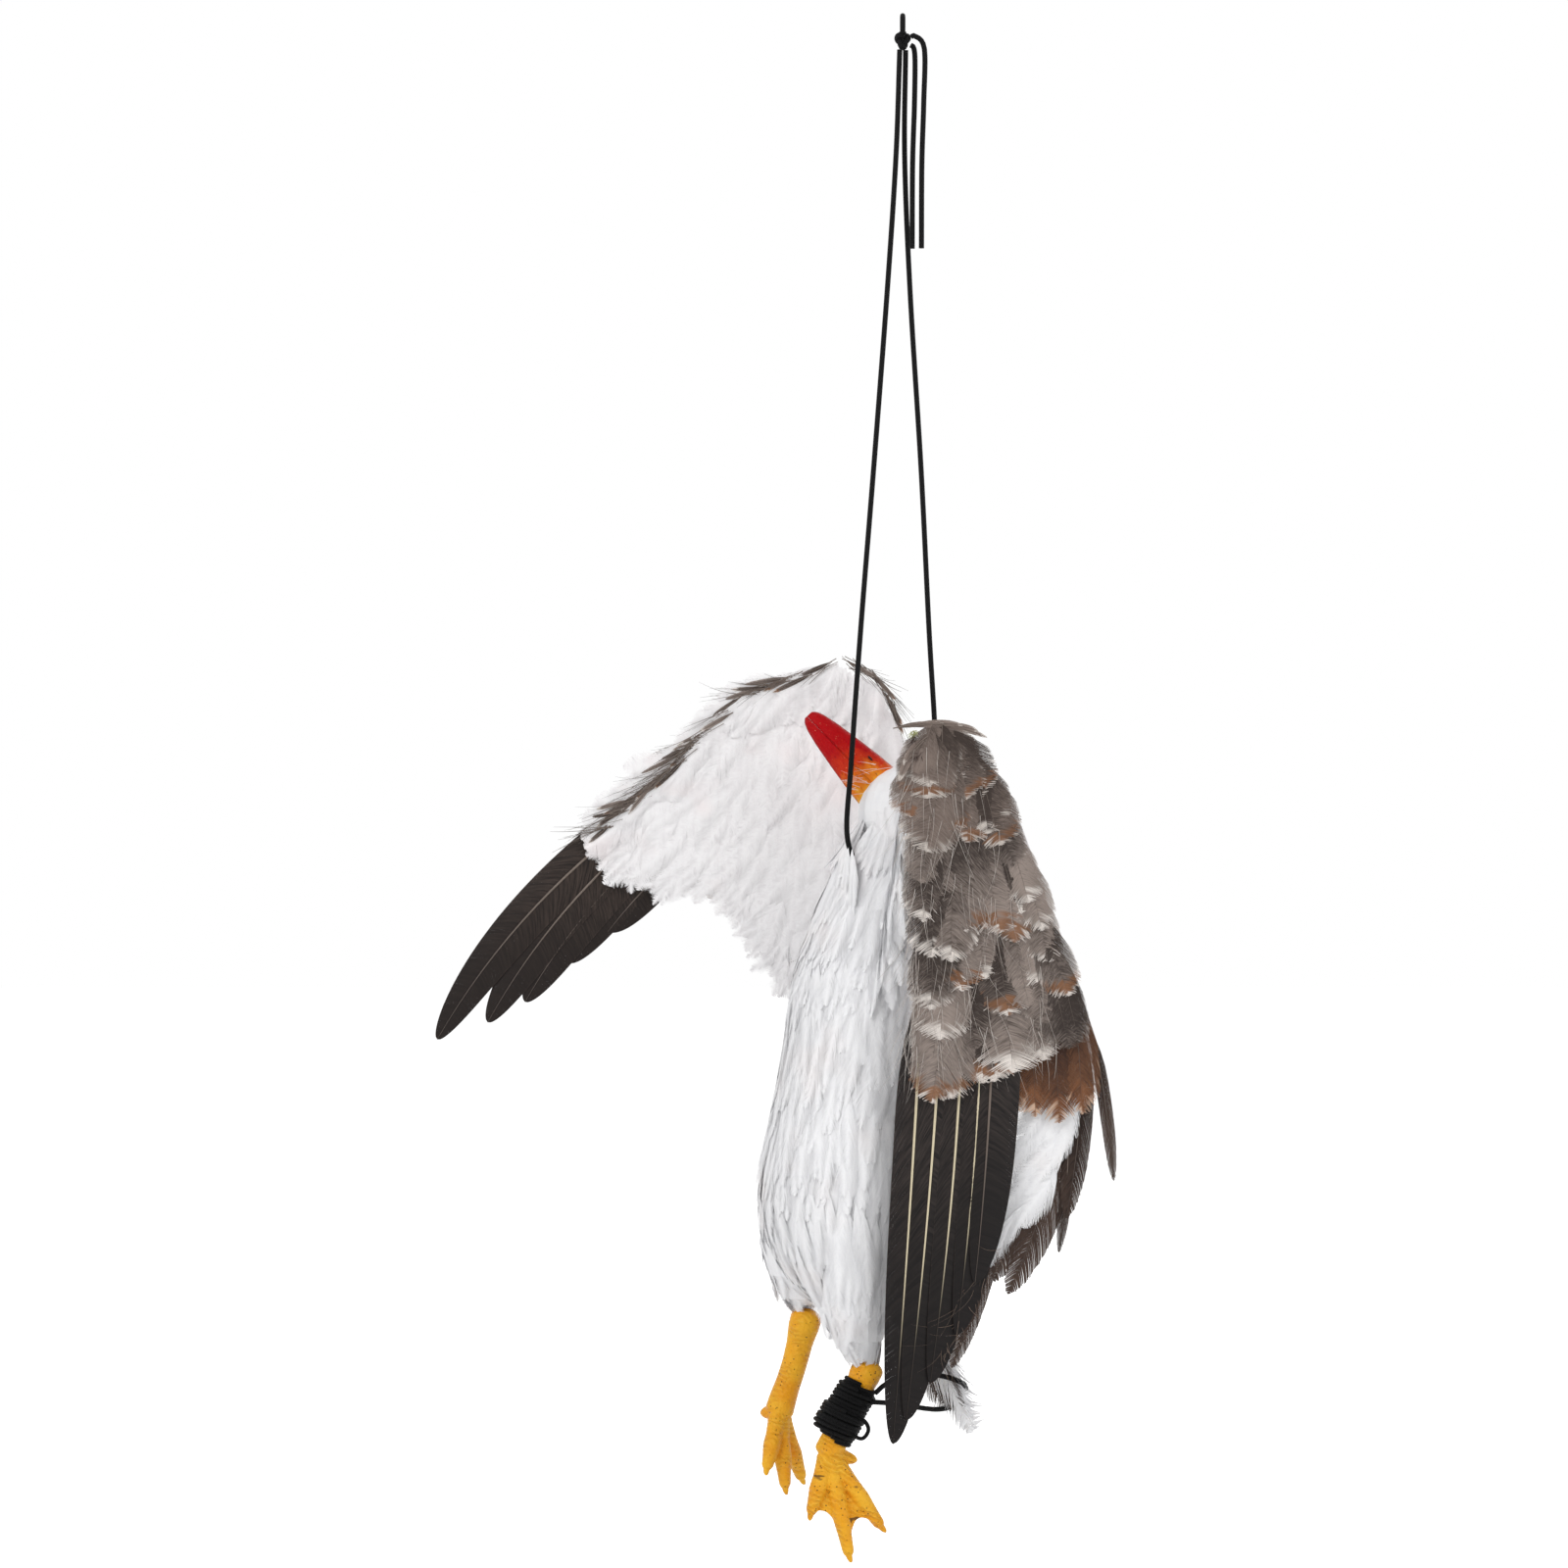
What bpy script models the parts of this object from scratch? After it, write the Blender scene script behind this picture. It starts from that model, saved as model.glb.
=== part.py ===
# Dead gull decoy: a life-size feathered gull that hangs by its neck from a black braided cord.
# Metres, +Z up. The origin is the inner top of the hanging loop, where a hook carries it.
# The bird's left side faces -Y, its breast faces -X and its back +X.

from math import acos, atan2, cos, pi, radians, sin

import bmesh
import bpy
from mathutils import Matrix, Vector

# Clearance between touching pieces
GAP = 0.0003

# Cord
CORD_D = 0.0025
LOOP_HEIGHT = 0.0086
LOOP_WIDTH = 0.009
KNOT_RADIUS = 0.0042
TAIL_LENGTH = 0.098
# Each tail: the way it leaves the knot, how far to the side it hangs, how far it sags first
TAIL_LEAVES = (("cord_tail_outer", Vector((0.88, -0.33, 0.34)), 0.0101, 0.0040),
               ("cord_tail_inner", Vector((0.84, 0.30, -0.45)), 0.0058, 0.0085))

# Noose and neck
NOOSE_CENTRE = Vector((-0.006, 0.0, -0.404))
NECK_RADIUS = 0.0168
NOOSE_PLAY = 0.0004
FRONT_STRAND_ANGLE = radians(225)
REAR_STRAND_ANGLE = radians(50)

# Head and beak
HEAD_CENTRE = Vector((0.0, 0.0, -0.372))
HEAD_RADIUS = 0.021
HEAD_FACETS = (24, 14)
BEAK_TILT = radians(-44)
BEAK_REACH = 0.062
BEAK_DEPTH = 0.0235
BEAK_WIDTH = 0.0125
LOWER_BEAK_SHORTER = 0.006
EYE_RADIUS = 0.0032
NOD_SLOT_HALF = 0.0095

# Body: centre x, half width and half depth at each height
BODY_FORM = (
    (-0.414, -0.0090, 0.014, 0.014),
    (-0.421, -0.0120, 0.0245, 0.025),
    (-0.439, -0.0165, 0.0325, 0.034),
    (-0.464, -0.0205, 0.0340, 0.037),
    (-0.490, -0.0240, 0.032, 0.036),
    (-0.519, -0.0265, 0.037, 0.039),
    (-0.549, -0.0280, 0.041, 0.042),
    (-0.574, -0.0275, 0.038, 0.039),
    (-0.594, -0.0250, 0.027, 0.029),
    (-0.603, -0.0240, 0.015, 0.016),
)
BODY_TOP = -0.4115
BODY_BOTTOM = -0.607
COAT_WALL = 0.0035
COAT_SPLIT_X = -0.026
BODY_SIDES = 24
CUT_REACH = 0.2

# Thighs: centre x, centre y, radius at each height
NEAR_THIGH = ((-0.565, -0.026, -0.020, 0.014), (-0.585, -0.025, -0.020, 0.0185),
              (-0.603, -0.0235, -0.020, 0.0170), (-0.618, -0.021, -0.020, 0.0115))
FAR_THIGH = ((-0.558, -0.050, 0.018, 0.014), (-0.576, -0.050, 0.018, 0.0175),
             (-0.591, -0.048, 0.018, 0.0150), (-0.602, -0.0455, 0.018, 0.0100))
THIGH_TIP = 0.007

# Legs
WIRE_D = 0.0024
LEG_RADIUS = 0.0057
KNUCKLE_RADIUS = 0.0073
KNEE_SWELL = 1.04
TOE_RADIUS = 0.0036
WEB_THICKNESS = 0.0022
NEAR_KNEE = Vector((-0.0165, -0.020, -0.631))
NEAR_ANKLE = Vector((-0.0350, -0.020, -0.6705))
FAR_KNEE = Vector((-0.0450, 0.018, -0.611))
FAR_ANKLE = Vector((-0.0580, 0.018, -0.656))
LEG_PIN = 0.0042

# Toe tips, measured from the ankle
TIED_TOES = (Vector((-0.0085, -0.006, -0.0285)), Vector((0.0097, -0.005, -0.0480)),
             Vector((0.0250, 0.003, -0.0355)))
TIED_HALLUX = Vector((0.0135, 0.005, -0.0045))
FREE_TOES = (Vector((-0.006, -0.014, -0.026)), Vector((0.003, -0.006, -0.036)),
             Vector((0.011, 0.013, -0.034)))
FREE_HALLUX = Vector((-0.0090, 0.004, -0.001))

# Cord wrap on the tied leg
WRAP_TURNS = 9
WRAP_PITCH = 0.0030
WRAP_START = 0.0085
WRAP_CORD_D = 0.0024

# Tail
TAIL_ROOT = Vector((-0.011, 0.0, -0.588))
TAIL_TIP = Vector((0.029, 0.0, -0.664))
TAIL_FAN = radians(7)
TAIL_QUILL = 0.018
TAIL_WIDTH = 0.015

# Wings
PLATE = 0.0009
LAYER = PLATE + GAP
BOARD = 0.0014
PAD = 0.0076
NEAR_HINGE = Vector((0.005, -0.0500, -0.345))
NEAR_TILT = radians(9)
NEAR_WRIST = (0.016, -0.034)
FAR_HINGE = Vector((-0.032, 0.0475, -0.400))
FAR_HINGE_UP = Vector((0.052, 0.0, 0.131)).normalized()
FAR_WRIST = (-0.026, 0.068)
WRIST_PIN_R = 0.0015
PIVOT_LENGTH = 0.020
FAR_WING_REACH = 0.187
NEAR_WING_DROP = 0.325

COLOURS = {
    "cord_black": ((0.012, 0.012, 0.013), 0.75, 0.0),
    "foam": ((0.86, 0.85, 0.82), 0.9, 0.0),
    "feather_white": ((0.88, 0.87, 0.86), 0.85, 0.0),
    "feather_grey": ((0.27, 0.22, 0.195), 0.75, 0.0),
    "feather_brown": ((0.16, 0.085, 0.055), 0.75, 0.0),
    "feather_dark": ((0.045, 0.035, 0.032), 0.6, 0.0),
    "steel_wire": ((0.45, 0.45, 0.46), 0.35, 1.0),
    "beak_orange": ((0.85, 0.25, 0.03), 0.3, 0.0),
    "leg_yellow": ((0.85, 0.42, 0.03), 0.45, 0.0),
    "eye_black": ((0.01, 0.01, 0.01), 0.1, 0.0),
    "felt": ((0.75, 0.73, 0.70), 0.95, 0.0),
}


def clear_scene():
    for item in list(bpy.data.objects):
        bpy.data.objects.remove(item, do_unlink=True)


def make_collection(name):
    collection = bpy.data.collections.new(name)
    bpy.context.scene.collection.children.link(collection)
    return collection


clear_scene()
PARTS = make_collection("dead_gull_decoy")
CUTTERS = make_collection("cutters")


# Materials, objects and parents
def material(name, slot):
    colour, roughness, metallic = COLOURS[slot]
    made = bpy.data.materials.new(name)
    made.use_nodes = True
    shader = made.node_tree.nodes["Principled BSDF"]
    shader.inputs["Base Color"].default_value = (*colour, 1.0)
    shader.inputs["Roughness"].default_value = roughness
    shader.inputs["Metallic"].default_value = metallic
    made.diffuse_color = (*colour, 1.0)
    return made


def empty(name, place, parent=None, turn=None):
    pivot = bpy.data.objects.new(name, None)
    PARTS.objects.link(pivot)
    pivot.empty_display_size = 0.02
    pivot.matrix_world = Matrix.Translation(place) @ (turn or Matrix()).to_4x4()
    if parent:
        keep_under(pivot, parent)
    bpy.context.view_layer.update()
    return pivot


def keep_under(item, parent):
    bpy.context.view_layer.update()
    item.parent = parent
    item.matrix_parent_inverse = parent.matrix_world.inverted()


def finish_piece(item, name, slot, parent):
    item.name = name
    item.data.name = name
    item.data.materials.clear()
    item.data.materials.append(material(name, slot))
    if parent:
        keep_under(item, parent)
    return item


def link_mesh(bm, name, collection):
    mesh = bpy.data.meshes.new(name)
    bm.to_mesh(mesh)
    bm.free()
    item = bpy.data.objects.new(name, mesh)
    collection.objects.link(item)
    return item


def soften(item, angle=radians(40)):
    item.data.shade_smooth()
    item.data.set_sharp_from_angle(angle=angle)


# Shapes
def shaped_ball(name, rows, low, high, sides=BODY_SIDES, collection=None):
    """A UV sphere whose rings are set to (z, x, y, half width, half depth), from high to low."""
    bm = bmesh.new()
    bmesh.ops.create_uvsphere(bm, u_segments=sides, v_segments=len(rows) + 1, radius=1.0)
    for vert in bm.verts:
        ring = round(acos(max(-1.0, min(1.0, vert.co.z))) / pi * (len(rows) + 1))
        if ring == 0:
            vert.co = (rows[0][1], rows[0][2], high)
        elif ring == len(rows) + 1:
            vert.co = (rows[-1][1], rows[-1][2], low)
        else:
            height, x, y, half_x, half_y = rows[ring - 1]
            angle = atan2(vert.co.y, vert.co.x)
            vert.co = (x + half_x * cos(angle), y + half_y * sin(angle), height)
    item = link_mesh(bm, name, collection or PARTS)
    soften(item)
    return item


def ball(name, centre, radius, sides=20, rings=12, collection=None):
    bm = bmesh.new()
    bmesh.ops.create_uvsphere(bm, u_segments=sides, v_segments=rings, radius=radius)
    bmesh.ops.translate(bm, verts=bm.verts, vec=centre)
    item = link_mesh(bm, name, collection or PARTS)
    soften(item)
    return item


def box(name, low, high, collection=None):
    bm = bmesh.new()
    bmesh.ops.create_cube(bm, size=1.0)
    size = Vector(high) - Vector(low)
    bmesh.ops.scale(bm, verts=bm.verts, vec=size)
    bmesh.ops.translate(bm, verts=bm.verts, vec=(Vector(high) + Vector(low)) / 2)
    return link_mesh(bm, name, collection or CUTTERS)


def tube(name, points, radius, factors=None, resolution=2, cyclic=False):
    """A round tube along points, with its radius multiplied by each point's factor."""
    curve = bpy.data.curves.new(name, "CURVE")
    curve.dimensions = "3D"
    curve.bevel_depth = radius
    curve.bevel_resolution = resolution
    curve.use_fill_caps = not cyclic
    spline = curve.splines.new("POLY")
    spline.points.add(len(points) - 1)
    spline.use_cyclic_u = cyclic
    for index, place in enumerate(points):
        spline.points[index].co = (*place, 1.0)
        spline.points[index].radius = factors[index] if factors else 1.0
    item = bpy.data.objects.new(name, curve)
    PARTS.objects.link(item)
    return item


def as_mesh(curve_item, collection=None):
    """The evaluated curve as a mesh object with its caps welded."""
    bpy.context.view_layer.update()
    graph = bpy.context.evaluated_depsgraph_get()
    mesh = bpy.data.meshes.new_from_object(curve_item.evaluated_get(graph))
    bm = bmesh.new()
    bm.from_mesh(mesh)
    bmesh.ops.remove_doubles(bm, verts=bm.verts, dist=0.00001)
    bm.to_mesh(mesh)
    bm.free()
    item = bpy.data.objects.new(curve_item.name, mesh)
    item.matrix_world = curve_item.matrix_world
    (collection or PARTS).objects.link(item)
    bpy.data.objects.remove(curve_item, do_unlink=True)
    return item


def plate(name, outline, thickness, frame, depth, collection=None):
    """A flat plate in the frame's plane, its middle at the given depth along the frame's normal."""
    curve = bpy.data.curves.new(name, "CURVE")
    curve.dimensions = "2D"
    curve.fill_mode = "BOTH"
    curve.extrude = thickness / 2
    spline = curve.splines.new("POLY")
    spline.points.add(len(outline) - 1)
    spline.use_cyclic_u = True
    for index, (u, v) in enumerate(outline):
        spline.points[index].co = (u, v, 0.0, 1.0)
    item = bpy.data.objects.new(name, curve)
    (collection or PARTS).objects.link(item)
    item.matrix_world = frame.matrix_world @ Matrix.Translation((0.0, 0.0, depth))
    return item


# Cutting and joining
def boolean(target, tool, operation):
    if tool.name not in CUTTERS.objects:
        for collection in list(tool.users_collection):
            collection.objects.unlink(tool)
        CUTTERS.objects.link(tool)
    tool.hide_render = True
    tool.display_type = "WIRE"
    modifier = target.modifiers.new(tool.name, "BOOLEAN")
    modifier.operation = operation
    modifier.solver = "EXACT"
    modifier.object = tool


def cut(target, *tools):
    for tool in tools:
        boolean(target, tool, "DIFFERENCE")


def join(target, *tools):
    for tool in tools:
        boolean(target, tool, "UNION")


def bore(points, radius=WIRE_D / 2 + GAP):
    return as_mesh(tube("bore", points, radius, resolution=1), CUTTERS)


def smooth_route(chosen, step):
    """Points about one step apart on a Catmull-Rom curve through the chosen points."""
    route = []
    padded = [chosen[0] * 2 - chosen[1], *chosen, chosen[-1] * 2 - chosen[-2]]
    for index in range(1, len(padded) - 2):
        p0, p1, p2, p3 = padded[index - 1:index + 3]
        count = max(1, round((p2 - p1).length / step))
        for part in range(count):
            t = part / count
            route.append(0.5 * (2 * p1 + (p2 - p0) * t + (2 * p0 - 5 * p1 + 4 * p2 - p3) * t ** 2
                                + (3 * p1 - p0 - 3 * p2 + p3) * t ** 3))
    route.append(chosen[-1].copy())
    return route


def on_ring(angle, radius, height=0.0):
    return NOOSE_CENTRE + Vector((radius * cos(angle), radius * sin(angle), height))


def noose_radius():
    return NECK_RADIUS + NOOSE_PLAY + CORD_D / 2


# Cord
def make_hang_loop():
    """The bight at the top, an upright U across the picture, its legs ending over the knot."""
    half = LOOP_WIDTH / 2 - CORD_D / 2
    top = CORD_D / 2
    foot = knot_centre().z + KNOT_RADIUS + GAP
    arc = [Vector((0.0, half * cos(turn), top - half + half * sin(turn)))
           for turn in [pi * step / 10 for step in range(11)]]
    close = 0.0018
    points = [Vector((0.0, close, foot)), *arc, Vector((0.0, -close, foot))]
    loop = tube("hang_loop", points, CORD_D / 2)
    return finish_piece(loop, "hang_loop", "cord_black", None)


def knot_centre():
    return Vector((0.0, 0.0, -LOOP_HEIGHT - KNOT_RADIUS + CORD_D))


def make_loop_knot():
    knot = ball("loop_knot", knot_centre(), KNOT_RADIUS, 14, 10)
    return finish_piece(knot, "loop_knot", "cord_black", None)


def make_strand(name, chosen):
    strand = tube(name, smooth_route(chosen, 0.0075), CORD_D / 2)
    return finish_piece(strand, name, "cord_black", None)


def make_strands():
    knot_foot = knot_centre().z - KNOT_RADIUS - GAP
    seat = CORD_D + GAP
    front_end = on_ring(FRONT_STRAND_ANGLE, noose_radius(), seat / 2 + CORD_D / 4)
    rear_end = on_ring(REAR_STRAND_ANGLE, noose_radius(), seat / 2 + CORD_D / 4)
    make_strand("front_strand", [
        Vector((-0.0014, -0.0008, knot_foot)), Vector((-0.0032, -0.0022, -0.065)),
        Vector((-0.0074, -0.0052, -0.129)), Vector((-0.0138, -0.0090, -0.212)),
        Vector((-0.0198, -0.0127, -0.286)), Vector((-0.0244, -0.0158, -0.350)),
        Vector((-0.0262, -0.0170, -0.384)), front_end])
    make_strand("rear_strand", [
        Vector((0.0014, 0.0008, knot_foot)), Vector((0.0010, 0.0028, -0.065)),
        Vector((0.0037, 0.0064, -0.129)), Vector((0.0090, 0.0118, -0.212)),
        Vector((0.0128, 0.0166, -0.286)), Vector((0.0156, 0.0195, -0.332)),
        Vector((0.0172, 0.0218, -0.372)), rear_end])


def make_noose():
    radius = noose_radius()
    points = [on_ring(2 * pi * step / 32, radius) for step in range(32)]
    noose = tube("neck_noose", points, CORD_D / 2, cyclic=True)
    return finish_piece(noose, "neck_noose", "cord_black", None)


def make_cord_tails():
    """Two loose ends that leave the knot to the right, arch over and hang."""
    middle = knot_centre()
    for name, leave, side, sag in TAIL_LEAVES:
        leave = leave.normalized()
        start = middle + leave * (KNOT_RADIUS + GAP * 1.5)
        depth = start.y * 0.5
        chosen = [start, start + leave * CORD_D * 0.5,
                  Vector((side, start.y, middle.z - sag)),
                  Vector((side - 0.0003, depth - 0.0020, middle.z - 0.030)),
                  Vector((side - 0.0012, depth - 0.0032, middle.z - TAIL_LENGTH * 0.6)),
                  Vector((side - 0.0014, depth - 0.0034, middle.z - TAIL_LENGTH))]
        tail = tube(name, smooth_route(chosen, 0.0055), CORD_D / 2)
        finish_piece(tail, name, "cord_black", None)


# Body
def body_rows(grow):
    """The body's rows with their surface moved out by grow, up and down as well as sideways."""
    middle = (BODY_TOP + BODY_BOTTOM) / 2
    stretch = 1 + grow / (BODY_TOP - middle)
    return [(middle + (z - middle) * stretch, x, 0.0, half_x + grow, half_y + grow)
            for z, x, half_x, half_y in BODY_FORM]


def body_ball(name, grow, collection=None):
    return shaped_ball(name, body_rows(grow), BODY_BOTTOM - grow, BODY_TOP + grow, BODY_SIDES, collection)


def wire_paths():
    """Every wire's centreline, written once for the wire and for the bores it runs through."""
    neck_turn = HEAD_CENTRE + Vector((0.0, 0.009, 0.0))
    u = Vector((cos(NEAR_TILT), sin(NEAR_TILT), 0.0))
    far_start = FAR_HINGE - FAR_HINGE_UP * 0.004
    pin = Vector((0.0, LEG_PIN, 0.0))
    return {
        "neck_wire": [Vector((-0.016, 0.0, -0.500)), NOOSE_CENTRE.copy(), HEAD_CENTRE.copy(), neck_turn],
        "near_wing_wire": [Vector((-0.018, -0.006, -0.452)), Vector((-0.0075, -0.0405, -0.437)),
                           NEAR_HINGE + Vector((-0.001, 0.0035, -0.009)), NEAR_HINGE.copy(),
                           NEAR_HINGE + u * PIVOT_LENGTH],
        "far_wing_wire": [Vector((-0.020, 0.006, -0.455)), Vector((-0.029, 0.0400, -0.432)),
                          far_start, FAR_HINGE + FAR_HINGE_UP * PIVOT_LENGTH],
        "tied_leg_wire": [Vector((-0.030, -0.014, -0.560)), Vector((-0.0245, -0.020, -0.600)),
                          NEAR_KNEE + Vector((-0.0030, 0.0, -0.008))],
        "free_leg_wire": [Vector((-0.040, 0.012, -0.556)), Vector((-0.0462, 0.018, -0.590)),
                          FAR_KNEE.copy(), FAR_KNEE + pin],
    }


def lengthened(points, extra):
    """The same path with its first and last runs made longer, so that a bore clears its wire's ends."""
    first = points[0] + (points[0] - points[1]).normalized() * extra
    last = points[-1] + (points[-1] - points[-2]).normalized() * extra
    return [first, *points[1:-1], last]


def make_wires(parent):
    for name, points in wire_paths().items():
        wire = tube(name, points, WIRE_D / 2, resolution=1)
        finish_piece(wire, name, "steel_wire", parent)


def make_body(parent):
    paths = wire_paths()
    core = body_ball("body_core", -COAT_WALL - GAP)
    cut(core, *[bore(lengthened(points, GAP)) for points in paths.values()])
    finish_piece(core, "body_core", "foam", parent)
    spans = (("breast_coat", COAT_SPLIT_X - GAP / 2, CUT_REACH), ("back_coat", -CUT_REACH, COAT_SPLIT_X + GAP / 2))
    for name, low, high in spans:
        coat = body_ball(name, 0.0)
        cut(coat, body_ball("coat_inside", -COAT_WALL, CUTTERS))
        cut(coat, box("coat_split", (low, -CUT_REACH, -1.0), (high, CUT_REACH, 0.0)))
        cut(coat, *[bore(lengthened(points, GAP)) for points in paths.values()])
        cut(coat, neck_form("neck_clearance", GAP, CUTTERS))
        finish_piece(coat, name, "feather_white", parent)


def neck_form(name, grow, collection=None):
    """A bead round the noose centre, so that the neck turns in the noose without tightening it."""
    rows = []
    radius = NECK_RADIUS + grow
    for turn in range(1, 10):
        angle = pi * turn / 10
        rows.append((NOOSE_CENTRE.z + radius * cos(angle), NOOSE_CENTRE.x, 0.0,
                     radius * sin(angle), radius * sin(angle)))
    low = NOOSE_CENTRE.z - radius
    return shaped_ball(name, rows, low, NOOSE_CENTRE.z + radius, 24, collection)


def make_neck(parent):
    neck = neck_form("neck_core", 0.0)
    cut(neck, ball("head_seat", HEAD_CENTRE, HEAD_RADIUS + GAP, *HEAD_FACETS, CUTTERS))
    cut(neck, body_ball("neck_seat", -COAT_WALL, CUTTERS))
    cut(neck, bore(wire_paths()["neck_wire"]))
    finish_piece(neck, "neck_core", "foam", parent)


def thigh_rows(form):
    return [(z, x, y, radius, radius) for z, x, y, radius in form]


def make_thigh(name, form, wire, knee, parent):
    thigh = shaped_ball(name, thigh_rows(form), form[-1][0] - THIGH_TIP, form[0][0] + THIGH_TIP, 16)
    cut(thigh, body_ball("thigh_seat", GAP, CUTTERS))
    cut(thigh, ball("knee_seat", knee, KNUCKLE_RADIUS * KNEE_SWELL + GAP, 14, 10, CUTTERS))
    cut(thigh, bore(lengthened(wire_paths()[wire], GAP)))
    return finish_piece(thigh, name, "feather_white", parent)


# Head
def beak_turn():
    return Matrix.Rotation(BEAK_TILT, 4, "Y")


def beak_form(name, reach, collection=None):
    rows = []
    start = HEAD_RADIUS * 0.6
    for share, size in ((1.0, 0.24), (0.95, 0.37), (0.78, 0.57), (0.52, 0.74), (0.26, 0.90), (0.0, 1.0)):
        z = start + (reach - start) * share
        droop = 0.0012 - 0.0030 * share ** 3
        rows.append((z * 0.985, droop, 0.0, BEAK_DEPTH / 2 * size, BEAK_WIDTH / 2 * size))
    form = shaped_ball(name, rows, start - 0.002, reach, 16, collection)
    form.matrix_world = Matrix.Translation(HEAD_CENTRE) @ beak_turn()
    return form


def beak_box(name, x_low, x_high, z_high=0.09):
    item = box(name, (x_low, -0.03, -0.01), (x_high, 0.03, z_high))
    item.matrix_world = Matrix.Translation(HEAD_CENTRE) @ beak_turn()
    return item


def make_beak(parent):
    split = -0.0012
    half = GAP / 2
    upper = beak_form("upper_mandible", BEAK_REACH)
    cut(upper, beak_box("upper_trim", -0.03, split + half))
    lower = beak_form("lower_mandible", BEAK_REACH - LOWER_BEAK_SHORTER)
    cut(lower, beak_box("lower_trim", split - half, 0.03))
    for item in (upper, lower):
        cut(item, ball("beak_seat", HEAD_CENTRE, HEAD_RADIUS + GAP, *HEAD_FACETS, CUTTERS))
        finish_piece(item, item.name, "beak_orange", parent)


def eye_place(side):
    direction = beak_turn() @ Vector((0.30, side * 0.80, 0.45)).normalized()
    return HEAD_CENTRE + direction * (HEAD_RADIUS - EYE_RADIUS * 0.35)


def make_head(parent):
    head = ball("head", HEAD_CENTRE, HEAD_RADIUS, *HEAD_FACETS)
    pin = HEAD_CENTRE + Vector((0.0, 0.009 + GAP, 0.0))
    wire_clear = WIRE_D / 2 + GAP
    cut(head, bore([HEAD_CENTRE - Vector((0.0, WIRE_D / 2, 0.0)), pin]))
    low = HEAD_CENTRE + Vector((-NOD_SLOT_HALF, -wire_clear, -HEAD_RADIUS - 0.005))
    high = HEAD_CENTRE + Vector((NOD_SLOT_HALF, wire_clear, 0.0014))
    cut(head, box("nod_slot", low, high))
    for side, name in ((-1, "near_eye"), (1, "far_eye")):
        eye = ball(name, eye_place(side), EYE_RADIUS, 12, 8)
        cut(head, ball("eye_socket", eye_place(side), EYE_RADIUS + GAP, 12, 8, CUTTERS))
        finish_piece(eye, name, "eye_black", parent)
    finish_piece(head, "head", "feather_white", parent)


# Legs
def toe_row(ankle, tip, bulge):
    """A toe from the ankle to its tip, thick at its middle joint."""
    middle = ankle.lerp(tip, 0.5) + bulge
    return [ankle, middle, tip], [1.25, 1.05, 0.45]


def web(name, ankle, tips, thickness):
    """The skin between the toes: a thin plate through the ankle and the toes' tips."""
    first, last = tips[0] - ankle, tips[-1] - ankle
    normal = first.cross(last).normalized()
    side = (first - last).normalized()
    up = normal.cross(side)
    turn = Matrix((side, up, normal)).transposed()
    outline = [(0.0, 0.0)]
    for index, tip in enumerate(tips):
        reach = (tip - ankle) * 0.93
        outline.append((reach.dot(side), reach.dot(up)))
        if index + 1 < len(tips):
            between = (tip + tips[index + 1] - ankle * 2) * 0.5 * 0.80
            outline.append((between.dot(side), between.dot(up)))
    curve_frame = bpy.data.objects.new("web_frame", None)
    curve_frame.matrix_world = Matrix.Translation(ankle) @ turn.to_4x4()
    skin = as_mesh(plate(name, outline, thickness, curve_frame, 0.0))
    bpy.data.objects.remove(curve_frame)
    return skin


def leg(name, knee, ankle, toes, hallux, bulge):
    """Knee knuckle, shank, ankle knuckle, three front toes with webs and a short hind toe."""
    shank = [knee, knee.lerp(ankle, 0.18), knee.lerp(ankle, 0.5), knee.lerp(ankle, 0.85), ankle]
    factors = [KNUCKLE_RADIUS / LEG_RADIUS, 1.0, 0.94, 1.0, KNUCKLE_RADIUS / LEG_RADIUS]
    made = as_mesh(tube(name, shank, LEG_RADIUS, factors))
    join(made, ball("knee_end", knee, KNUCKLE_RADIUS * KNEE_SWELL, 14, 10, CUTTERS))
    join(made, ball("ankle_end", ankle, KNUCKLE_RADIUS * KNEE_SWELL, 14, 10, CUTTERS))
    for reach in (*toes, hallux):
        points, swell = toe_row(ankle, ankle + reach, Vector() if reach is hallux else bulge)
        join(made, as_mesh(tube("toe", points, TOE_RADIUS, swell, 1), CUTTERS))
    join(made, web("web", ankle, [ankle + reach for reach in toes], WEB_THICKNESS))
    return made


def make_tied_leg(parent):
    made = leg("tied_leg", NEAR_KNEE, NEAR_ANKLE, TIED_TOES, TIED_HALLUX, Vector((0.0, -0.0015, 0.0)))
    cut(made, bore(lengthened(wire_paths()["tied_leg_wire"], GAP)))
    finish_piece(made, "tied_leg", "leg_yellow", parent)


def make_free_leg(parent):
    made = leg("free_leg", FAR_KNEE, FAR_ANKLE, FREE_TOES, FREE_HALLUX, Vector((0.0, 0.0, 0.001)))
    wire_clear = WIRE_D / 2 + GAP
    pin_end = FAR_KNEE + Vector((0.0, LEG_PIN + GAP, 0.0))
    cut(made, bore([FAR_KNEE - Vector((0.0, WIRE_D / 2, 0.0)), pin_end]))
    reach = KNUCKLE_RADIUS
    cut(made, box("swing_slot", FAR_KNEE + Vector((-reach, -wire_clear, -0.0012)),
                  FAR_KNEE + Vector((reach, wire_clear, reach * 2))))
    finish_piece(made, "free_leg", "leg_yellow", parent)


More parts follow.
